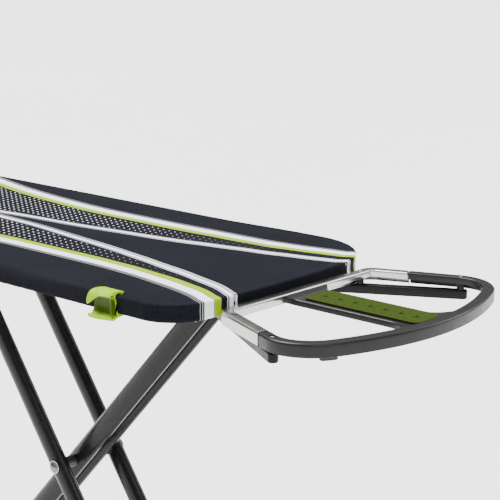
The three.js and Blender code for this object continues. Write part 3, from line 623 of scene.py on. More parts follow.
# ---------- cover and its print ----------
# Half distances of the printed lines from the middle of the print, by distance from the tail edge.
INNER_STRIPE = (
    (-1.24, 0.062), (-1.05, 0.046), (-0.85, 0.026), (-0.70, 0.008), (-0.61, -0.002),
    (-0.518, -0.0112), (-0.427, -0.0186), (-0.336, -0.030), (-0.245, -0.044), (-0.155, -0.061),
    (-0.075, -0.079), (-0.024, -0.094), (0.004, -0.108))
GREEN_WHITE_EDGE = (
    (-1.00, 0.230), (-0.85, 0.180), (-0.70, 0.136), (-0.609, 0.116), (-0.518, 0.1035),
    (-0.427, 0.0962), (-0.336, 0.095), (-0.245, 0.0965), (-0.155, 0.1000), (-0.114, 0.1045),
    (-0.078, 0.111), (-0.034, 0.1215), (0.004, 0.137))
INNER_SHIFT, OUTER_SHIFT = 0.003, 0.006  # of the two pairs of lines, off the board's middle
CASING = 0.0021  # radius of the hem's drawcord casing
BASE_ROUND = 0.0036  # rounding of the skirt's lower edge
LONG_GATHER, SHORT_GATHER = 0.021, 0.0092  # lengths of the hem's folds


def print_map(x, y):
    """(U, V): distance outside the inner stripe, and outside the line between green and white."""
    back = x - TAIL
    inner = smooth_through(INNER_STRIPE, back)
    outer = smooth_through(GREEN_WHITE_EDGE, back)
    return np.abs(y - INNER_SHIFT) - np.abs(inner), np.abs(y - OUTER_SHIFT) - outer


def edge_rounding(x):
    """(softness, radius of the top edge): crisp at the tail, softly padded towards the nose."""
    soft = np.clip((TAIL - 0.13 - x) / 0.16, 0, 1)
    soft = soft * soft * (3 - 2 * soft)
    return soft, 0.0028 + 0.0085 * soft


def padding_swell(x, y):
    """Height of the cloth over the felt: long low swells and faint tension lines to the corners."""
    swell = np.sin(x * 17 + 0.6) * np.cos(y * 21 - 0.4) + 0.6 * np.sin(x * 37 + y * 29)
    pull = np.sin((x + 0.7 * y) * 95) * np.exp(-((x - TAIL + 0.12) / 0.10) ** 2)
    return TOP - 0.0006 + 0.00028 * swell + 0.00014 * pull


def make_cover():
    """The cloth: a drawn hem, a skirt that is crisp at the tail and soft elsewhere, and a flat top.

    Each row is the board's edge moved in by a distance at a height. The hem ends in a round casing
    for its drawcord, and gathers in small folds; from the skirt's top edge the rows run to the
    middle line.
    """
    cover = bpy.context.scene.cover
    edge = board_edge()
    x = edge[:, 0]
    run = np.concatenate([[0], np.cumsum(np.linalg.norm(np.diff(edge, axis=0), axis=1))])
    soft, top_round = edge_rounding(x)
    bottom = COVER_LOW.z
    gather = (np.sin(run * 2 * math.pi / LONG_GATHER + 1.3 * np.sin(run * 9))
              + 0.5 * np.sin(run * 2 * math.pi / SHORT_GATHER))
    pucker = (0.00012 + 0.00045 * soft) * gather
    rows = []
    for angle in np.radians(np.linspace(130, -180, 12)):
        rows.append((cover.hem + CASING * math.sin(angle), bottom - 0.0004 + CASING * math.cos(angle)))
    for share in (0.84, 0.68, 0.52, 0.36):
        rows.append((cover.hem * share, bottom - 0.0012 * share + 0.7 * pucker * share))
    for angle in np.radians(np.linspace(0, 90, 6)):
        inset = BASE_ROUND * (1 - math.sin(angle)) + 0.6 * pucker
        rows.append((inset, bottom + BASE_ROUND * (1 - math.cos(angle))))
    wall_low, wall_high = bottom + BASE_ROUND, TOP - top_round
    for share in np.linspace(0.12, 0.9, 7):
        lean = 0.0007 * math.sin(math.pi * share)
        rows.append((lean + pucker * (1 - share), wall_low + (wall_high - wall_low) * share))
    for angle in np.radians(np.linspace(0, 84, 10)):
        rows.append((top_round * (1 - math.cos(angle)), wall_high + (top_round - 0.0005) * math.sin(angle)))
    crease = 0.0011 * (1 - soft)
    for d, sink in ((0.0045, 0.35), (0.008, 0.9), (0.013, 1.0), (0.019, 0.7), (0.026, 0.3)):
        rows.append((d + top_round, TOP - 0.0005 - crease * sink * 0.5))
    rings = edge_rings(edge, rows)
    rings += to_spine(rings[-1], 46, padding_swell)
    points = np.stack(rings)
    mesh = as_mesh("printed_cover", points, grid_faces(len(rings), len(edge), close_columns=True),
                   sharp=math.radians(70))
    at = np.zeros(len(mesh.vertices) * 3)
    mesh.vertices.foreach_get("co", at)
    at = at.reshape(-1, 3)
    corner = np.zeros(len(mesh.loops), int)
    mesh.loops.foreach_get("vertex_index", corner)
    layer = mesh.uv_layers.new(name="print")
    printed = np.stack(print_map(at[:, 0], at[:, 1]), 1)[corner]
    layer.uv.foreach_set("vector", printed.astype(np.float32).ravel())
    piece = finish_piece("printed_cover", mesh, "printed_cloth", "board", "cover")


def make_felt():
    """The felt underlay: the board's plan, set in by the cloth, crowned and dimpled by needling."""
    edge = board_edge()
    low, high = PAD_LOW.z, PAD_HIGH.z
    chamfer = 0.0008
    top_round = edge_rounding(edge[:, 0])[1] + 0.0004
    centre, radius = TOP - top_round, top_round - (PAD_LOW.x - NOSE)
    first = np.arcsin(np.clip((low + chamfer - centre) / radius, 0, 1))
    rows = [(top_round - radius * np.cos(first) + chamfer, low)]
    for share in np.linspace(0, 1, 9):
        angle = first + (math.pi / 2 - first) * share
        height = np.minimum(centre + radius * np.sin(angle), high)
        rows.append((top_round - radius * np.cos(angle), height))
    rows.insert(1, (rows[1][0], np.full(len(edge), low + chamfer)))
    rings = edge_rings(edge, rows)
    under = to_spine(rings[0], 14, lambda x, y: low + 0.0002 * (1 + np.sin(x * 130) * np.sin(y * 130)))
    over = to_spine(rings[-1], 14, lambda x, y: high - 0.0002 * (1 + np.sin(x * 60) * np.sin(y * 60)))
    points = np.stack(under[::-1] + rings + over)
    mesh = as_mesh("felt_pad", points, grid_faces(len(points), len(edge), close_columns=True))
    piece = finish_piece("felt_pad", mesh, "felt_cloth", "board", "pad")


# ---------- steel top and rim ----------
def make_steel_top():
    """Expanded metal: tilted bonds on a staggered lattice, joined by slanting strands."""
    pitch_x, pitch_y = 0.030, 0.0135  # of the lattice's diamonds
    sheet_length, sheet_width = 1.3, 0.4  # before it is cut to the board's plan
    strand, sink = 0.0008, 0.00045  # thickness, and the steel's top to the strands' middle
    bond_reach = 0.0055  # keeps the outermost bonds inside the rim
    edge = board_edge()
    border = edge + inward(edge) * (STEEL_LOW.x - NOSE + bond_reach)
    columns, rows = int(sheet_length / pitch_x * 2), int(sheet_width / pitch_y * 2)
    i, j = np.meshgrid(np.arange(columns), np.arange(-rows // 2, rows // 2 + 1), indexing="ij")
    keep = (i + j) % 2 == 0
    node = np.stack([NOSE + i[keep] * pitch_x / 2, j[keep] * pitch_y / 2], 1)
    a, b = border, np.roll(border, -1, 0)
    crosses = (a[None, :, 1] > node[:, None, 1]) != (b[None, :, 1] > node[:, None, 1])
    rise = np.where(np.abs(b[:, 1] - a[:, 1]) < 1e-12, 1e-12, b[:, 1] - a[:, 1])
    reach = a[None, :, 0] + (node[:, None, 1] - a[None, :, 1]) * ((b - a)[:, 0] / rise)[None]
    within = (crosses & (node[:, None, 0] < reach)).sum(1) % 2 == 1
    away = np.linalg.norm(node[:, None] - border[None, ::3], axis=2)
    nearest = away.argmin(1)
    kept = within | (away.min(1) < 0.5 * pitch_x)
    placed = np.where(within[:, None], node, border[::3][nearest])
    index = -np.ones(len(node), int)
    index[kept] = np.arange(kept.sum())
    lookup = {key: n for n, key in enumerate(zip(i[keep].tolist(), j[keep].tolist()))}
    bond = np.array([[0.0040, 0], [0.0022, 0.0011], [-0.0022, 0.0011],
                     [-0.0040, 0], [-0.0022, -0.0011], [0.0022, -0.0011]])
    tilt = np.array([0, 1, 1, 0, -1, -1]) * 0.00025
    middle = STEEL_HIGH.z - sink
    points = np.concatenate([placed[kept][:, None] + bond[None],
                             np.broadcast_to((middle + tilt)[None, :, None], (kept.sum(), 6, 1))], 2)
    faces = [[6 * n + k for k in range(6)] for n in range(kept.sum())]
    for (ci, cj), n in lookup.items():
        if index[n] < 0:
            continue
        for step, mine, theirs in (((1, 1), (0, 1), (4, 3)), ((1, -1), (5, 0), (3, 2))):
            other = lookup.get((ci + step[0], cj + step[1]))
            if other is not None and index[other] >= 0:
                p, q = 6 * index[n], 6 * index[other]
                faces.append([p + mine[0], q + theirs[0], q + theirs[1], p + mine[1]])
    mesh = as_mesh("expanded_top", points, faces, sharp=math.radians(30))
    piece = finish_piece("expanded_top", mesh, "zinc_plate", "board", "steel_top")
    wall = piece.modifiers.new("thickness", "SOLIDIFY")
    wall.thickness = strand
    wall.offset = 0


def make_rim():
    """The rolled rim under the steel top: a flange in from the edge and a rounded lip down."""
    edge = board_edge()
    start = RIM_LOW.x - NOSE
    top, bottom = RIM_HIGH.z, RIM_LOW.z
    width, lip, wall, corner = 0.012, 0.0055, 0.0014, 0.002
    section = [(start + width, top), (start + corner, top)]
    for angle in np.radians((30, 60, 90)):
        section.append((start + corner - corner * math.sin(angle), top - corner + corner * math.cos(angle)))
    section += [
        (start, top - lip + 0.001), (start + 0.0008, bottom + 0.0002), (start + 0.0020, bottom + 0.0002),
        (start + wall + 0.001, top - lip + 0.001), (start + wall, top - 0.003),
        (start + wall + 0.001, top - wall), (start + width, top - wall),
        (start + width + 0.0005, top - wall / 2)]
    rings = np.stack(edge_rings(edge, section))
    faces = grid_faces(len(rings), len(edge), close_rows=True, close_columns=True)
    add_solid("rolled_rim", rings, faces, "zinc_plate", "board", "rim", "zinc_steel")


# ---------- legs and feet ----------
FOOT_RADIUS = 0.011  # of a foot bar
FOOT_RISE = 0.015  # from a foot bar's ends to its middle
FOOT_FLAT = 0.066  # half length of its level middle
BEAD = 0.0021  # radius of a weld bead
TUBE_FOOT, TUBE_OVERRUN = 0.0095, 0.0150  # foot bar's middle to a tube's start, top pin to its end
SHOE = 0.0168  # radius of a foot's rubber cap


def leg_line(frame_name):
    """The middle line of a leg pair in the XZ plane, from its foot bar to its top."""
    low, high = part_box(f"{frame_name}_foot_bar")
    foot = np.array([(low.x + high.x) / 2, high.z - FOOT_RADIUS])
    pin = HINGE if frame_name == "inner" else CATCH
    head = np.array([pin.x, pin.z])
    unit = (head - foot) / np.linalg.norm(head - foot)
    return foot, head, unit


def weld_bead(foot, unit, y):
    """A rippled ring round the tube's foot, dropped onto the round foot bar."""
    metal = bpy.context.scene.metal
    steps = 72
    turn = np.linspace(0, 2 * math.pi, steps, endpoint=False)
    a, b = metal.tube_deep / 2 + 0.0004, metal.tube_thick / 2 + 0.0004
    deep, thick = a * np.cos(turn), b * np.sin(turn)
    bar = FOOT_RADIUS + 0.0002
    drop = np.sqrt(np.maximum(bar**2 - deep**2, 0)) + 0.0008
    drop = np.where(np.abs(deep) > bar, 0.0035, drop)
    centre = np.column_stack([
        foot[0] + unit[1] * deep + unit[0] * drop, y - thick, foot[1] - unit[0] * deep + unit[1] * drop])
    outward = np.column_stack([unit[1] * deep / a, -thick / b, -unit[0] * deep / a])
    outward /= np.linalg.norm(outward, axis=1, keepdims=True)
    up = np.tile([unit[0], 0, unit[1]], (steps, 1))
    ripple = 1 + 0.12 * np.sin(turn * 18)
    section = oval(BEAD, BEAD, 10)[None] * ripple[:, None, None]
    return swept(centre, outward, up, section, closed=True)


def make_leg(frame_name, side):
    """An oval tube from the foot bar to past its top pin, with a weld bead and a domed cap."""
    metal = bpy.context.scene.metal
    foot, head, unit = leg_line(frame_name)
    low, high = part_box(f"{frame_name}_leg_{side}")
    y = (low.y + high.y) / 2
    start, end = foot + unit * TUBE_FOOT, head + unit * TUBE_OVERRUN
    steps = 60
    share = np.linspace(0, 1, steps)[:, None]
    plan = start + (end - start) * share
    path = np.column_stack([plan[:, 0], np.full(steps, y), plan[:, 1]])
    across = np.tile([unit[1], 0, -unit[0]], (steps, 1))
    sideways = np.tile([0.0, -1.0, 0.0], (steps, 1))
    section = oval(metal.tube_deep / 2, metal.tube_thick / 2, 56, 2.15)
    points, faces = several([swept(path, across, sideways, section), weld_bead(foot, unit, y)])
    body = f"{frame_name}_frame"
    add_solid(f"{frame_name}_leg_tube_{side}", points, faces, "leg_paint", body,
              f"{frame_name}_leg_{side}", "leg_paint")

    cap = ((0, 0.0035), (0.45, 0.0034), (0.8, 0.0030), (0.95, 0.0022), (1.0, 0.0012),
           (1.0, 0.0002), (0.86, 0.0002), (0.84, -0.006), (0, -0.006))
    steps, rings = 48, []
    for size, lift in cap:
        at = end + unit * (lift + 0.0002)
        deep, thick = oval(metal.tube_deep / 2 * size, metal.tube_thick / 2 * size, steps).T
        rings.append(np.column_stack([at[0] + unit[1] * deep, y - thick, at[1] - unit[0] * deep]))
    faces = grid_faces(len(rings), steps, close_columns=True)
    add_solid(f"{frame_name}_leg_cap_{side}", np.stack(rings), faces, "dark_mould", body,
              f"{frame_name}_leg_plug_{side}", "dark_plastic")


def foot_height(y, half, sole):
    """Height of a foot bar's middle: level between the legs, then half a cosine wave down."""
    share = np.clip((np.abs(y) - FOOT_FLAT) / (half - FOOT_FLAT), 0, 1)
    return sole + FOOT_RISE * (1 + np.cos(np.pi * share)) / 2


def make_foot(frame_name):
    """A bent foot bar with a ribbed rubber cap on each end, flat where it stands."""
    bar_low, bar_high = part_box(f"{frame_name}_foot_bar")
    middle_x, half = (bar_low.x + bar_high.x) / 2, bar_high.y
    sole = bar_high.z - FOOT_RADIUS - FOOT_RISE
    y = np.linspace(-half, half, 140)
    z = foot_height(y, half, sole)
    slope = np.gradient(z, y)
    length = np.hypot(1, slope)
    path = np.column_stack([np.full_like(y, middle_x), y, z])
    across = np.tile([1.0, 0, 0], (len(y), 1))
    upward = np.column_stack([np.zeros_like(y), -slope / length, 1 / length])
    points, faces = swept(path, across, upward, oval(FOOT_RADIUS, FOOT_RADIUS, 40))
    body = f"{frame_name}_frame"
    add_solid(f"{frame_name}_foot_tube", points, faces, "leg_paint", body,
              f"{frame_name}_foot_bar", "leg_paint")

    rows, steps = 90, 44
    for side, sign in SIDES:
        cap_low, cap_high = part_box(f"{frame_name}_foot_cap_{side}")
        inner, reach = sorted((abs(cap_low.y), abs(cap_high.y)))
        share = np.linspace(0, 1, rows)
        out = inner + (reach - inner) * share
        size = SHOE * np.sqrt(np.clip(1 - np.clip((share - 0.80) / 0.20, 0, 1) ** 2.4, 0, 1))
        size = size * (1 - 0.20 * np.clip((0.16 - share) / 0.16, 0, 1))
        ribs = (share > 0.14) & (share < 0.66)
        size = size - 0.0009 * ribs * (np.sin(share * 2 * math.pi * 11) > 0.2)
        ring = oval(1.0, 1.0, steps, 2.3)
        rings = np.stack([
            middle_x + size[:, None] * ring[:, 0], np.broadcast_to(sign * out[:, None], (rows, steps)),
            np.maximum(sole + size[:, None] * ring[:, 1], 0.0)], -1)
        mouth = np.broadcast_to([middle_x, sign * inner, foot_height(inner, half, sole)], (1, steps, 3))
        rings = np.concatenate([mouth, rings])
        faces = grid_faces(len(rings), steps, close_columns=True)
        add_solid(f"{frame_name}_foot_shoe_{side}", rings, faces, "foot_rubber", body,
                  f"{frame_name}_foot_cap_{side}", "foot_rubber")


def make_pivot():
    """The crossing axle: a rod with a domed head on each side, its rim a little undercut."""
    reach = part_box("pivot_axle")[1].y
    head = ((0, 0.0), (0.0022, -0.0001), (0.0042, -0.0007), (0.0058, -0.0017),
            (0.0067, -0.0028), (0.0070, -0.0034), (0.0068, -0.0038), (0.0040, -0.0038))
    near = [(radius, reach + height) for radius, height in head]
    profile = near + [(radius, -height) for radius, height in near[::-1]]
    points, faces = turned(profile, (PIVOT.x, 0, PIVOT.z))
    add_solid("pivot_rivet", points, faces, "rivet_chrome", "inner_frame", "pivot_axle", "zinc_steel")


def make_round_parts():
    """Bars, sleeves, shoes and washers: turned rings with broken edges, in place of the plain ones."""
    pin_bore, bar_bore = 0.0043, 0.0063
    plain = [("catch_bar", "outer_frame", "zinc_plate", "zinc_steel", 0, 0.0008),
             ("hinge_sleeve", "inner_frame", "zinc_plate", "zinc_steel", pin_bore, 0.0005),
             ("pivot_sleeve_middle", "inner_frame", "zinc_plate", "zinc_steel", pin_bore, 0.0005)]
    for side, _ in SIDES:
        plain += [(f"slide_shoe_{side}", "outer_frame", "dark_mould", "dark_plastic", bar_bore, 0.0012),
                  (f"pivot_sleeve_{side}", "inner_frame", "dark_mould", "dark_plastic", pin_bore, 0.0008),
                  (f"pivot_washer_{side}", "outer_frame", "zinc_plate", "zinc_steel", pin_bore, 0.0002)]
    for node, body, material, slot, bore, edge in plain:
        low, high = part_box(node)
        radius = (high.z - low.z) / 2
        y0, y1 = low.y, high.y
        cut = 0.3 * edge
        profile = [(bore, y0), (radius - edge, y0), (radius - cut, y0 + cut), (radius, y0 + edge),
                   (radius, y1 - edge), (radius - cut, y1 - cut), (radius - edge, y1), (bore, y1)]
        if bore:
            profile.append((bore, y0))
        middle = (low + high) / 2
        points, faces = turned(profile, (middle.x, 0, middle.z))
        add_solid(f"{node}_turned", points, faces, material, body, node, slot)


# ---------- iron rest ----------
REST = {  # plan sizes are distances from the tail edge and from the middle line
    "rear_x": 0.0055, "rear_round": 0.014,
    "side_x": 0.111, "side_half": 0.1726, "slope": 0.40,
    "front_x": 0.1798, "front_half": 0.140, "reach": 0.212,
    "side_pull": 0.0248, "front_pull": 0.215,
    "near_joint": 0.097, "far_joint": 0.055, "wall": 0.0022}
BRIDGE_HALF, BRIDGE_DROP = 0.029, 0.005
SCREW_HOLE = 0.0036  # radius of the ring's holes over the screws
SLOT_X, SLOT_RADIUS, SLOT_LENGTH = 0.032, 0.0021, 0.007  # the oblong hole in the near arm
STRUT_TOP, STRUT_HALF, STRUT_SLOPE = 0.026, 0.006, 0.56
STRUT_HEAD_X, STRUT_POST_X = 0.056, 0.050  # from the tail edge, under the board
BOSS, POST = 0.0044, 0.0046  # radii of a strut's bosses to the ring and to the board


def rest_side(x):
    """Half width of the ring's straight sides at a distance from the tail edge."""
    return REST["side_half"] - (REST["side_x"] - x) * REST["slope"]


def rest_edge(count):
    """Plan of the ring's outer edge, anticlockwise from the middle of its rear bar.

    Straight splayed sides, a bowed front, a cubic curve at each front corner and small rear corners.
    """
    r = REST
    rear, turn = r["rear_x"], r["rear_round"]
    handle = r["side_x"] + r["side_pull"]
    front_handle = (r["front_x"] - 2 * (r["reach"] - r["front_x"]) * r["front_pull"],
                    r["front_half"] * (1 + r["front_pull"]))
    corner = conic((rear, rest_side(rear) - turn), (rear, rest_side(rear)),
                   (rear + turn, rest_side(rear + turn)))
    bend = bezier((r["side_x"], r["side_half"]), (handle, rest_side(handle)), front_handle,
                  (r["front_x"], r["front_half"]), 160)
    front = conic((r["front_x"], -r["front_half"]), (2 * r["reach"] - r["front_x"], 0),
                  (r["front_x"], r["front_half"]), 300)
    half = np.concatenate([corner, bend])
    line = np.concatenate([[[rear, 0]], half * (1, -1), front[1:], half[::-1][1:]])
    return along(line, count, closed=True) + (TAIL, 0)


def ring_section(width, skirt, wall):
    """The channel's section as (inwards, up), round on its top edges: wall out, top, short wall in."""
    big, small, inner = 0.0030, 0.0018, 0.008
    return np.concatenate([
        [(wall, -skirt), (wall * 0.5, -skirt - 0.0002), (0.0003, -skirt + 0.0004),
         (0.0, -skirt * 0.66), (0.0, -skirt * 0.4)],
        arc((big, -big), big, 180, 90, 8),
        arc((width - small, -small), small, 90, 0, 6),
        [(width, -inner * 0.6), (width - 0.0003, -inner),
         (width - wall, -inner), (width - wall, -wall - 0.001), (width - wall - 0.001, -wall),
         (wall + 0.001, -wall), (wall, -wall - 0.001), (wall, -skirt * 0.5)]])


def ring_part(keep):
    """The stretch of the ring where keep(x, y) holds, as a closed sweep of the channel's section."""
    rest = bpy.context.scene.rest
    edge = rest_edge(720)
    turn = inward(edge)
    chosen = keep(edge[:, 0] - TAIL, edge[:, 1])
    start = int(np.argmax(chosen & ~np.roll(chosen, 1)))
    order = (start + np.arange(chosen.sum())) % len(edge)
    section = ring_section(rest.band, rest.skirt, REST["wall"])
    path = np.column_stack([edge[order], np.full(len(order), REST_TOP)])
    across = np.column_stack([turn[order], np.zeros(len(order))])
    points, faces = swept(path, across, np.tile([0.0, 0, 1], (len(order), 1)), section, capped=False)
    return points, [*faces, *end_faces(len(order), len(section))]


def end_faces(rows, columns):
    """The two faces that close an open sweep, each one ring of points."""
    last = (rows - 1) * columns
    return [list(range(columns)), list(range(last, last + columns))[::-1]]


def is_carrier(x, y):
    """Whether a place on the ring belongs to its bright rear part."""
    return x < np.where(y < 0, REST["near_joint"], REST["far_joint"])


def drilled(mesh, cutters):
    """The mesh with turned or swept cutters taken out of it."""
    base = bpy.data.objects.new("base", mesh)
    scene = bpy.context.scene.collection.objects
    scene.link(base)
    tools = []
    for points, faces in cutters:
        tool = bpy.data.objects.new("tool", as_mesh("tool", points, faces, recalculate=True))
        scene.link(tool)
        tools.append(tool)
        step = base.modifiers.new("hole", "BOOLEAN")
        step.operation, step.object, step.solver = "DIFFERENCE", tool, "EXACT"
    bpy.context.view_layer.update()
    result = bpy.data.meshes.new_from_object(base.evaluated_get(bpy.context.evaluated_depsgraph_get()))
    result.name = mesh.name + "_drilled"
    for piece in [base, *tools]:
        bpy.data.objects.remove(piece)
    result.materials.clear()
    result.shade_smooth()
    result.set_sharp_from_angle(angle=math.radians(38))
    return result


def screw_spots():
    """(name, x, y) of each screw of the rest."""
    spots = []
    for side, _ in SIDES:
        for number in (1, 2):
            low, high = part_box(f"rest_screw_{side}_{number}")
            spots.append((f"{side}_{number}", (low.x + high.x) / 2, (low.y + high.y) / 2))
    return spots


def hole_tool(x, y, radius, length=0.0):
    """An upright cutter through the ring's top, round or drawn out along X."""
    ring = oval(radius, radius, 28)
    ring[:, 0] += np.sign(ring[:, 0]) * length / 2
    path = np.array([(x, y, REST_TOP - 0.0050), (x, y, REST_TOP + 0.004)])
    return swept(path, np.tile([1.0, 0, 0], (2, 1)), np.tile([0.0, 1, 0], (2, 1)), ring)


def bridge_deck():
    """The sunk bridge: a plate whose sides flare in quarter circles where it meets the ring.

    Across it runs from rolled flange to rolled flange; u goes from the rear bar to the front.
    """
    rest = bpy.context.scene.rest
    x0 = REST["rear_x"] + rest.band - 0.001
    x1 = REST["reach"] - rest.band + 0.0006
    u = np.linspace(0, 1, 120)
    x = x0 + (x1 - x0) * u
    rear_flare, front_flare = 0.014, 0.040
    to_rear = np.clip(1 - (x - x0) / rear_flare, 0, 1)
    to_front = np.clip(1 - (x1 - x) / front_flare, 0, 1)
    half = (BRIDGE_HALF + rear_flare * (1 - np.sqrt(1 - to_rear**2))
            + front_flare * (1 - np.sqrt(1 - to_front**2)))
    v = np.linspace(-1, 1, 61)
    roll, depth, thickness = 0.0022, 0.0070, 0.0022
    flat = v[None] * (half[:, None] - roll)
    lift = BRIDGE_DROP * np.maximum(to_front**2.2, to_rear**2.0)[:, None] * np.abs(v[None]) ** 6
    meets_ring = np.maximum(np.clip(to_front * 3.2 - 2.2, 0, 1), np.clip(to_rear * 2 - 1, 0, 1))
    blend = (BRIDGE_DROP - 0.0012) * meets_ring[:, None]
    z = REST_TOP - BRIDGE_DROP + np.maximum(lift * 0.7, blend)
    top = np.stack([np.broadcast_to(x[:, None], flat.shape) + TAIL, flat, z], -1)
    rolled = []
    for sign, at in ((-1, 0), (1, -1)):
        side = []
        for angle in np.radians((30, 60, 90)):
            side.append(np.stack([top[:, at, 0], top[:, at, 1] + sign * roll * math.sin(angle),
                                  top[:, at, 2] - roll * (1 - math.cos(angle))], -1))
        side.append(np.stack([top[:, at, 0], top[:, at, 1] + sign * roll, top[:, at, 2] - depth], -1))
        rolled.append(np.stack(side[::-1] if sign < 0 else side, 1))
    sheet = np.concatenate([rolled[0], top, rolled[1]], 1)
    lower = sheet.copy()
    lower[:, 4:-4, 2] -= thickness
    for columns, sign in ((slice(0, 4), 1), (slice(-4, None), -1)):
        lower[:, columns, 1] += sign * thickness
        lower[:, columns, 2] = np.minimum(lower[:, columns, 2], sheet[:, 4:5, 2] - thickness)
    loop = np.concatenate([sheet, lower[:, ::-1]], 1)
    rows, count = loop.shape[:2]
    faces = list(grid_faces(rows, count, close_columns=True))
    for base in (0, (rows - 1) * count):
        for k in range(count // 2 - 1):
            faces.append([base + k, base + k + 1, base + count - 2 - k, base + count - 1 - k])
    return loop, faces


def make_rest():
    """The iron rest: bright rear part, dark front part with its bridge, and the holes in both."""
    spots = screw_spots()
    seam, sharp = 0.0004, math.radians(50)
    slot_y = -(rest_side(SLOT_X) - bpy.context.scene.rest.band / 2 * math.hypot(1, REST["slope"]))
    carrier = as_mesh("rest_bright", *ring_part(is_carrier), recalculate=True, sharp=sharp)
    holes = [hole_tool(TAIL + SLOT_X, slot_y, SLOT_RADIUS, SLOT_LENGTH)]
    holes += [hole_tool(x, y, SCREW_HOLE) for name, x, y in spots if name.endswith("1")]
    finish_piece("rest_bright", drilled(carrier, holes), "bright_steel", "board",
                 "rest_carrier")

    front = ring_part(lambda x, y: ~is_carrier(x - seam, y))
    tray = as_mesh("rest_dark", *front, recalculate=True, sharp=sharp)
    holes = [hole_tool(x, y, SCREW_HOLE) for name, x, y in spots if name.endswith("2")]
    finish_piece("rest_dark", drilled(tray, holes), "tray_mould", "board", "rest_tray")
    add_solid("rest_bridge", *bridge_deck(), "tray_mould", "board", (), "rest_tray_grey",
              sharp=math.radians(60))


def make_silicone_pad():
    """The pad on the bridge: a rounded slab with a raised border and rows of low studs and holes.

    Its height is a function of the place: the border and the studs are smooth steps up and the
    holes smooth steps down.
    """
    low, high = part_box("rest_silicone_pad")
    middle, size = (low + high) / 2, (high - low) / 2
    corner = 0.009
    rows, columns = 220, 76
    x, y = np.meshgrid(np.linspace(-1, 1, rows) * size.x, np.linspace(-1, 1, columns) * size.y, indexing="ij")
    over_x, over_y = np.abs(x) - (size.x - corner), np.abs(y) - (size.y - corner)
    outside = (over_x > 0) & (over_y > 0)
    shrink = np.where(outside, corner / np.maximum(np.hypot(over_x, over_y), corner), 1.0)
    x = np.where(outside, np.sign(x) * (size.x - corner + over_x * shrink), x)
    y = np.where(outside, np.sign(y) * (size.y - corner + over_y * shrink), y)
    over_x, over_y = np.abs(x) - (size.x - corner), np.abs(y) - (size.y - corner)
    outside = (over_x > 0) & (over_y > 0)
    edge = corner - np.where(outside, np.hypot(over_x, over_y), np.maximum(over_x, over_y))
    border = 1 / (1 + np.exp((edge - 0.0028) / 0.00025))
    round_off = 0.0008 * np.exp(-edge / 0.0006)
    stud_pitch, stud_radius = 0.0105, 0.0026
    stud_x, stud_y = ((np.mod(a / stud_pitch, 1) - 0.5) * stud_pitch for a in (x, y))
    stud = 1 / (1 + np.exp((np.hypot(stud_x, stud_y) - stud_radius) / 0.0002)) * (edge > 0.005)
    hole_pitch, hole_radius = 0.021, 0.0030
    hole_x, hole_y = ((np.mod(a / hole_pitch + 0.5, 1) - 0.5) * hole_pitch for a in (x, y))
    hole = 1 / (1 + np.exp((np.hypot(hole_x, hole_y) - hole_radius) / 0.00018)) * (edge > 0.006)
    height = high.z - 0.0007 + 0.0007 * np.maximum(border, stud) - round_off - 0.0016 * hole
    top = np.stack([x + middle.x, y + middle.y, height], -1)
    base = top.copy()
    base[..., 2] = low.z
    number = np.arange(rows * columns).reshape(rows, columns)
    rim = np.concatenate([number[0], number[1:, -1], number[-1, -2::-1], number[-2:0:-1, 0]])
    below = rim + number.size
    walls = np.stack([rim, np.roll(rim, -1), np.roll(below, -1), below], 1)
    floor = grid_faces(rows, columns) + number.size
    faces = np.concatenate([grid_faces(rows, columns), walls, floor[:, ::-1]])
    add_solid("silicone_pad", np.stack([top, base]), faces, "lime_silicone", "board",
              "rest_silicone_pad", "lime_silicone")


def rounded_bar(start, end, half_width, z0, z1, edge):
    """An upright slab with round ends between two plan points, its edges rounded over."""
    start, end = np.asarray(start, float), np.asarray(end, float)
    unit = (end - start) / np.linalg.norm(end - start)
    turn = math.degrees(math.atan2(unit[1], unit[0]))
    plan = np.concatenate([arc(end, half_width, turn - 90, turn + 90, 20),
                           arc(start, half_width, turn + 90, turn + 270, 20)])
    middle = np.broadcast_to((start + end) / 2, plan.shape)
    toward = inward(plan)
    rings = [(middle, z0)]
    for base, angles in ((z0 + edge, np.linspace(-90, 0, 6)), (z1 - edge, np.linspace(0, 90, 6))):
        for angle in np.radians(angles):
            rings.append((plan + toward * edge * (1 - math.cos(angle)), base + edge * math.sin(angle)))
    rings.append((middle, z1))
    points = np.stack([np.column_stack([flat, np.full(len(plan), z)]) for flat, z in rings])
    return points, grid_faces(len(rings), len(plan), close_columns=True)


def make_struts():
    """The bars under the rest: each a rounded slab with round bosses up to the ring and the board."""
    for side, sign in SIDES:
        low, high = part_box(f"rest_strut_{side}")
        top, tip_x = TOP - STRUT_TOP, high.x - STRUT_HALF
        tip_y = (high.y if sign > 0 else -low.y) - STRUT_HALF
        head, post_at = ((TAIL - back, sign * (tip_y - (tip_x - TAIL + back) * STRUT_SLOPE))
                         for back in (STRUT_HEAD_X, STRUT_POST_X))
        parts = [rounded_bar(head, (tip_x, sign * tip_y), STRUT_HALF, low.z, top, 0.0018)]
        sunk, boss_top, post_top = top - 0.002, REST_TOP - 0.0030, high.z - 0.0004
        boss = [(0, sunk), (BOSS, sunk), (BOSS, boss_top - 0.0006), (BOSS - 0.0006, boss_top), (0, boss_top)]
        for name, x, y in screw_spots():
            if name.startswith(side):
                parts.append(turned(boss, (x, y, 0), "Z", 32))
        post = [(0, sunk), (POST, sunk), (POST, post_top), (0, post_top)]
        parts.append(turned(post, (*post_at, 0), "Z", 32))
        add_solid(f"rest_bar_{side}", *several(parts), "strut_paint", "board",
                  f"rest_strut_{side}", "leg_paint")


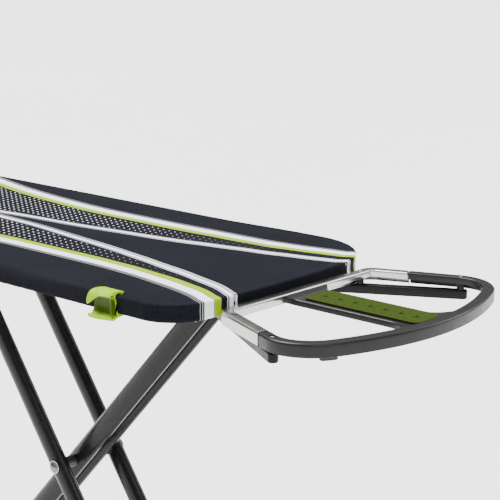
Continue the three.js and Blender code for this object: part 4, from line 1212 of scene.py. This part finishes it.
def make_lugs():
    """Rubber lugs in the front rail's channel: rounded bars with a domed lower end."""
    for side, sign in SIDES:
        low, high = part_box(f"rest_lug_{side}")
        radius = 0.004
        near_y, far_y = sorted((abs(low.y), abs(high.y)))
        ends = [(low.x + radius, sign * (far_y - radius)), (high.x - radius, sign * (near_y + radius))]
        points, faces = rounded_bar(*ends, radius, low.z, high.z, 0.0016)
        add_solid(f"rest_stop_{side}", points, faces, "foot_rubber", "board",
                  f"rest_lug_{side}", "foot_rubber")


def make_screws():
    """Pan-head screws, each with a cross recess sunk in its head."""
    head = ((0.0, 0.0), (0.0006, 0.0), (0.0012, 0.0), (0.0018, 0.0), (0.0024, -0.0001),
            (0.0029, -0.0005), (0.0032, -0.0012), (0.0032, -0.0016), (0.0019, -0.0016))
    head_height, recess, recess_radius = 0.0016, 0.0009, 0.0018
    thread_radius, thread_depth, thread_turns = 0.0019, 0.0002, 12
    steps = 64
    turn = np.linspace(0, 2 * math.pi, steps, endpoint=False)
    cross = np.abs(np.cos(2 * turn)) ** 6
    for name, x, y in screw_spots():
        low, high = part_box(f"rest_screw_{name}")
        neck = high.z - head_height
        rows = []
        for radius, height in head:
            sink = recess * (np.where(radius > 0, cross, 1) * (radius <= recess_radius))
            rows.append((radius, high.z + height - sink))
        for share in np.linspace(0.02, 1, 24):
            wave = 1 + np.sin(turn + share * 2 * math.pi * thread_turns)
            rows.append((thread_radius - thread_depth * wave / 2, neck - (neck - low.z) * share))
        rows.append((0.0, low.z))
        rings = np.stack([np.column_stack([
            x + radius * np.cos(turn), y + radius * np.sin(turn), np.broadcast_to(z, steps)])
            for radius, z in rows])
        faces = grid_faces(len(rings), steps, close_columns=True)
        add_solid(f"rest_fixing_{name}", rings, faces, "zinc_plate", "board",
                  f"rest_screw_{name}", "zinc_steel")


# ---------- cord clip ----------
def make_clip():
    """The clip: one section that grips the board's edge and opens outwards as a cord hook.

    The section is a smooth closed line through a few points (out from the edge, up from the cover's
    top). Along the clip its upper finger is drawn back towards the tail, and grooves cross its nose.
    """
    low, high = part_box("cord_clip")
    reach = -HALF - low.y
    depth = COVER_HIGH.z - COVER_LOW.z
    finger = np.array([
        (-0.0140, 0.0004), (-0.0142, 0.0012), (-0.0136, 0.0019), (-0.006, 0.0034), (0.002, 0.0040),
        (0.0085, 0.0030), (reach - 0.0025, -0.0006), (reach - 0.0002, -0.0055),
        (reach - 0.0004, -0.0090), (reach - 0.0030, -0.0108), (reach - 0.0040, -0.0080),
        (reach - 0.0048, -0.0045), (0.0078, -0.0008), (0.0052, -0.0022)])
    cradle = np.array([
        (0.0036, -0.0060), (0.0030, -0.0110), (0.0032, -0.0160), (0.0062, -0.0218), (0.0098, -0.0240),
        (reach - 0.0036, -0.0236), (reach - 0.0022, -0.0222), (reach - 0.0006, -0.0232),
        (reach - 0.0008, -0.0262), (reach - 0.0034, -0.0277), (0.0070, -0.0276),
        (0.0, -depth - 0.0040), (-0.0098, -depth - 0.0034), (-0.0110, -depth - 0.0018),
        (-0.0104, -depth - 0.0006), (0.0003, -depth - 0.0005), (0.0005, -0.012), (0.0004, 0.0003)])
    steps, around = 72, 150
    share = np.linspace(0, 1, steps)
    length_x = low.x + (high.x - low.x) * share
    sections = []
    for t in share:
        pull = t**0.8
        droop = max(0.0, 1 - t / 0.55) ** 1.2
        moved = finger.copy()  # drawn back towards the tail, with its tip drooping at the nose end
        outer = moved[:, 0] > 0.002
        moved[outer, 0] = 0.002 + (moved[outer, 0] - 0.002) * (1 - 0.66 * pull)
        hangs = outer & (moved[:, 1] < 0)
        moved[hangs, 1] *= 0.16 + 1.12 * droop
        moved[-1] = (0.0052 - 0.0010 * pull, -0.0022 + 0.0008 * pull)
        groove = 0.0006 * (0.5 + 0.5 * math.cos(t * 2 * math.pi * 9)) * (t < 0.52)
        moved[5:9, 0] -= groove
        flare = 0.0030 * np.clip((t - 0.80) / 0.20, 0, 1) ** 1.6
        base = cradle.copy()  # its lower lip is shorter at both ends, and its wall flares at the tail
        reaching = base[:, 0] > 0.0035
        shorter = 0.62 * np.clip((t - 0.40) / 0.60, 0, 1) ** 1.4 + 0.14 * (1 - t) ** 4
        base[reaching, 0] = 0.0035 + (base[reaching, 0] - 0.0035) * (1 - shorter)
        out = (base[:, 0] > 0.0025) & (base[:, 1] > -0.0230)
        base[out, 0] += flare
        line = np.concatenate([moved, base])
        sections.append(along(chaikin(line, 3), around, closed=True))
    sections = np.stack(sections)
    edge = 0.0011
    tuck = np.clip(np.minimum(share, 1 - share) / (edge / (high.x - low.x)), 0, 1)
    inset = edge * (1 - np.sqrt(1 - (1 - tuck) ** 2))
    rings = []
    for section, shrink in zip(sections, inset):
        rings.append(section + inward(section) * shrink * -turning(section))
    rings = np.stack(rings)
    toward_tail = np.clip((share[:, None] - 0.7) / 0.3, 0, 1) ** 2
    low_down = np.clip((-0.014 - rings[..., 1]) / 0.010, 0, 1) * toward_tail
    points = np.stack([length_x[:, None] + 0.0042 * low_down, -HALF - rings[..., 0], TOP + rings[..., 1]], -1)
    faces = [*grid_faces(steps, around, close_columns=True), *end_faces(steps, around)]
    add_solid("clip_moulding", points, faces, "clip_lime", "board", "cord_clip", "lime_plastic",
              sharp=math.radians(55))


def chaikin(line, rounds):
    """A closed line with its corners cut at a quarter and three quarters of each side."""
    for _ in range(rounds):
        after = np.roll(line, -1, 0)
        line = np.stack([line * 0.75 + after * 0.25, line * 0.25 + after * 0.75], 1).reshape(-1, 2)
    return line


def turning(line):
    """-1 for a closed line that runs anticlockwise and 1 for one that runs clockwise."""
    after = np.roll(line, -1, 0)
    return -math.copysign(1, np.sum(line[:, 0] * after[:, 1] - line[:, 1] * after[:, 0]))


# ---------- release lever ----------
SHAFT_DROP = 0.033  # top of the cover to the release shaft
ROD = 0.003  # radius of the release rod
ROD_BEND, ROD_FALL = 0.022, 0.1  # size of the rod's bend, and its slope down to the grip
SPRING_TURNS, SPRING_RADIUS, SPRING_WIRE = 6.5, 0.0052, 0.0008


def make_lever():
    """The release rod: across the board, round a bend and back to its grip, with a coil spring."""
    low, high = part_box("release_lever")
    x0, z0 = SHAFT.x, TOP - SHAFT_DROP
    y1 = high.y - ROD
    end = (high.x, y1, z0 - (high.x - x0) * ROD_FALL)
    bend = conic((x0, y1 - ROD_BEND, z0), (x0, y1, z0), (x0 + ROD_BEND, y1, z0 - ROD_BEND * ROD_FALL), 40)
    path = along(np.concatenate([[(x0, low.y, z0)], bend, [end]]), 160)
    ahead = np.gradient(path, axis=0)
    ahead /= np.linalg.norm(ahead, axis=1, keepdims=True)
    across = np.cross(ahead, (0.0, 0, 1))
    across /= np.linalg.norm(across, axis=1, keepdims=True)
    points, faces = swept(path, across, np.cross(across, ahead), oval(ROD, ROD, 24))
    add_solid("release_rod", points, faces, "zinc_plate", "release_lever", "release_lever", "zinc_steel")

    grip_low, grip_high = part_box("lever_grip")
    size = (grip_high.y - grip_low.y) / 2
    steps = 100
    share = np.linspace(0, 1, steps)
    x = grip_low.x + (grip_high.x - grip_low.x) * share
    round_ends = np.sqrt(np.clip(1 - np.abs(2 * share - 1) ** 9, 0, 1))
    form = size * round_ends * (0.86 + 0.14 * np.cos((share - 0.5) * 5.2) ** 2)
    form = form - 0.0005 * (np.abs(share - 0.5) < 0.33) * (np.sin(share * 2 * math.pi * 15) > 0.35)
    path = np.column_stack([x, np.full(steps, y1), z0 - (x - x0) * ROD_FALL])
    section = oval(1, 1, 40, 2.4)[None] * form[:, None, None]
    across, up = np.tile([0.0, 1, 0], (steps, 1)), np.tile([0.0, 0, 1], (steps, 1))
    points, faces = swept(path, across, up, section)
    add_solid("lever_handle", points, faces, "lime_mould", "release_lever", "lever_grip", "lime_plastic")

    spring_low, spring_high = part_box("lever_spring")
    steps, wire = 260, SPRING_WIRE
    share = np.linspace(0, 1, steps)
    angle = share * SPRING_TURNS * 2 * math.pi
    out = np.column_stack([np.cos(angle), np.zeros(steps), np.sin(angle)])
    y = spring_low.y + wire + (spring_high.y - spring_low.y - 2 * wire) * share
    path = np.column_stack([x0 + SPRING_RADIUS * out[:, 0], y, z0 + SPRING_RADIUS * out[:, 2]])
    points, faces = swept(path, out, np.tile([0.0, 1, 0], (steps, 1)), oval(wire, wire, 10))
    add_solid("return_spring", points, faces, "bright_steel", "board", "lever_spring", "bright_steel")


PLAIN_NODES = {
    "zinc_plate": ("brace_", "slide_rail_", "rail_guide_", "hinge_bracket", "hinge_pin", "height_rack_"),
    "dark_mould": ("shaft_bearing_",)}


def dress_plain_nodes():
    """Gives the frame's own carried-over pieces their materials."""
    for material, starts in PLAIN_NODES.items():
        for name, node in frame["nodes"].items():
            if name.startswith(starts):
                node.data.materials.clear()
                node.data.materials.append(MATERIALS[material])


# ---------- stage ----------
CAMERA_PLACE = (1.5954, -1.2732, 1.3263)
CAMERA_PITCH, CAMERA_TURN = 13.235, 42.265  # degrees down, and round from +Y
FLOOR_HALF, FLOOR_DROP = 60.0, 0.0005
BACKDROP = 2.9  # strength of the white that the camera sees behind the board
LIGHTS = (  # name, direction it comes from, angle across it in degrees, strength
    ("overhead_softbox", (-0.55, -0.10, 1.0), 36, 7.6),
    ("front_softbox", (0.95, -0.35, 0.85), 30, 1.1),
    ("back_softbox", (0.35, 1.0, 0.55), 30, 1.4),
)


def make_stage():
    """Camera, floor and soft lights."""
    stage = bpy.context.scene.stage
    data = bpy.data.cameras.new("camera")
    data.lens, data.sensor_width = stage.lens, 36.0
    data.clip_start, data.clip_end = 0.02, 200.0
    camera = bpy.data.objects.new("camera", data)
    camera.location = CAMERA_PLACE
    camera.rotation_euler = (math.radians(90 - CAMERA_PITCH), 0, math.radians(CAMERA_TURN))
    bpy.context.scene.collection.objects.link(camera)
    bpy.context.scene.camera = camera

    corners = np.array([(-1, -1, 0), (1, -1, 0), (1, 1, 0), (-1, 1, 0)]) * FLOOR_HALF
    mesh = as_mesh("floor", corners, [[0, 1, 2, 3]])
    floor = bpy.data.objects.new("floor", mesh)
    floor.location.z = -FLOOR_DROP
    bpy.context.scene.collection.objects.link(floor)
    ground = Recipe("studio_floor", tuple(stage.floor), 0.6)
    ground.mottle(tuple(stage.floor), 0.6, 0.01)
    mesh.materials.append(ground.material)

    world = bpy.data.worlds.new("studio")
    world.use_nodes = True
    nodes, links = world.node_tree.nodes, world.node_tree.links
    place, split, ramp = (nodes.new("ShaderNode" + kind) for kind in ("TexCoord", "SeparateXYZ", "ValToRGB"))
    ramp.color_ramp.elements[0].position, ramp.color_ramp.elements[1].position = 0.28, 0.90
    for element, tone in zip(ramp.color_ramp.elements, (0.12, 1.0)):
        element.color = (tone, tone, tone, 1)
    links.new(place.outputs["Generated"], split.inputs[0])
    links.new(split.outputs["Z"], ramp.inputs[0])
    links.new(ramp.outputs[0], nodes["Background"].inputs[0])
    nodes["Background"].inputs[1].default_value = stage.glow
    seen, path, choice = (nodes.new("ShaderNode" + kind) for kind in ("Background", "LightPath", "MixShader"))
    seen.inputs[0].default_value = (1, 1, 1, 1)
    seen.inputs[1].default_value = BACKDROP
    links.new(path.outputs["Is Camera Ray"], choice.inputs[0])
    links.new(nodes["Background"].outputs[0], choice.inputs[1])
    links.new(seen.outputs[0], choice.inputs[2])
    links.new(choice.outputs[0], nodes["World Output"].inputs[0])
    bpy.context.scene.world = world
    for name, toward, spread, strength in LIGHTS:
        lamp = bpy.data.lights.new(name, "SUN")
        lamp.angle, lamp.energy = math.radians(spread), strength
        light = bpy.data.objects.new(name, lamp)
        light.rotation_euler = Vector(toward).to_track_quat("Z", "Y").to_euler()
        bpy.context.scene.collection.objects.link(light)


# ---------- operators ----------
def make_legs():
    """Both leg frames with their feet, and the rivet at their crossing."""
    for frame_name in ("inner", "outer"):
        make_foot(frame_name)
        for side, _ in SIDES:
            make_leg(frame_name, side)
    make_pivot()


class MakeStage(bpy.types.Operator):
    """Adds the camera, the floor and the studio lights"""
    bl_idname = "board.make_stage"
    bl_label = "Studio"

    def execute(self, context):
        make_stage()
        return {"FINISHED"}


class MakeMaterials(bpy.types.Operator):
    """Makes the materials and gives the plain metal parts theirs"""
    bl_idname = "board.make_materials"
    bl_label = "Materials"

    def execute(self, context):
        make_materials()
        dress_plain_nodes()
        return {"FINISHED"}


class MakeCover(bpy.types.Operator):
    """Makes the printed cloth cover"""
    bl_idname = "board.make_cover"
    bl_label = "Cover"

    def execute(self, context):
        make_cover()
        return {"FINISHED"}


class MakeFelt(bpy.types.Operator):
    """Makes the felt underlay"""
    bl_idname = "board.make_felt"
    bl_label = "Felt"

    def execute(self, context):
        make_felt()
        return {"FINISHED"}


class MakeSteelTop(bpy.types.Operator):
    """Makes the expanded metal top and its rolled rim"""
    bl_idname = "board.make_steel_top"
    bl_label = "Steel top and rim"

    def execute(self, context):
        make_steel_top()
        make_rim()
        return {"FINISHED"}


class MakeLegs(bpy.types.Operator):
    """Makes the leg tubes, their caps, the feet and the crossing rivet"""
    bl_idname = "board.make_legs"
    bl_label = "Legs and feet"

    def execute(self, context):
        make_legs()
        make_round_parts()
        return {"FINISHED"}


class MakeRest(bpy.types.Operator):
    """Makes the iron rest's ring, bridge, bars and screws"""
    bl_idname = "board.make_rest"
    bl_label = "Iron rest"

    def execute(self, context):
        make_rest()
        make_struts()
        make_lugs()
        make_screws()
        return {"FINISHED"}


class MakeSiliconePad(bpy.types.Operator):
    """Makes the silicone pad on the iron rest"""
    bl_idname = "board.make_silicone_pad"
    bl_label = "Silicone pad"

    def execute(self, context):
        make_silicone_pad()
        return {"FINISHED"}


class MakeClip(bpy.types.Operator):
    """Makes the cord clip on the board's edge"""
    bl_idname = "board.make_clip"
    bl_label = "Cord clip"

    def execute(self, context):
        make_clip()
        return {"FINISHED"}


class MakeLever(bpy.types.Operator):
    """Makes the release rod, its grip and its spring"""
    bl_idname = "board.make_lever"
    bl_label = "Release lever"

    def execute(self, context):
        make_lever()
        return {"FINISHED"}


OPERATORS = (MakeStage, MakeMaterials, MakeCover, MakeFelt, MakeSteelTop, MakeLegs, MakeRest, MakeSiliconePad,
             MakeClip, MakeLever)


class BoardPanel(bpy.types.Panel):
    """Lists the board's settings and the steps that make it"""
    bl_idname = "VIEW3D_PT_ironing_board"
    bl_label = "Ironing board"
    bl_space_type = "VIEW_3D"
    bl_region_type = "UI"
    bl_category = "Ironing board"

    def draw(self, context):
        for group, kind in SETTINGS.items():
            box = self.layout.box()
            for setting in kind.__annotations__:
                box.prop(getattr(context.scene, group), setting)
        for operator in OPERATORS:
            self.layout.operator(operator.bl_idname)


CLASSES = (*SETTINGS.values(), *OPERATORS, BoardPanel)


def register():
    for kind in CLASSES:
        bpy.utils.register_class(kind)
    for group, kind in SETTINGS.items():
        setattr(bpy.types.Scene, group, PointerProperty(type=kind))


def unregister():
    for group in SETTINGS:
        delattr(bpy.types.Scene, group)
    for kind in reversed(CLASSES):
        bpy.utils.unregister_class(kind)


def main():
    register()
    for operator in OPERATORS:
        getattr(bpy.ops.board, operator.bl_idname.split(".")[1])()


if __name__ == "__main__":
    main()
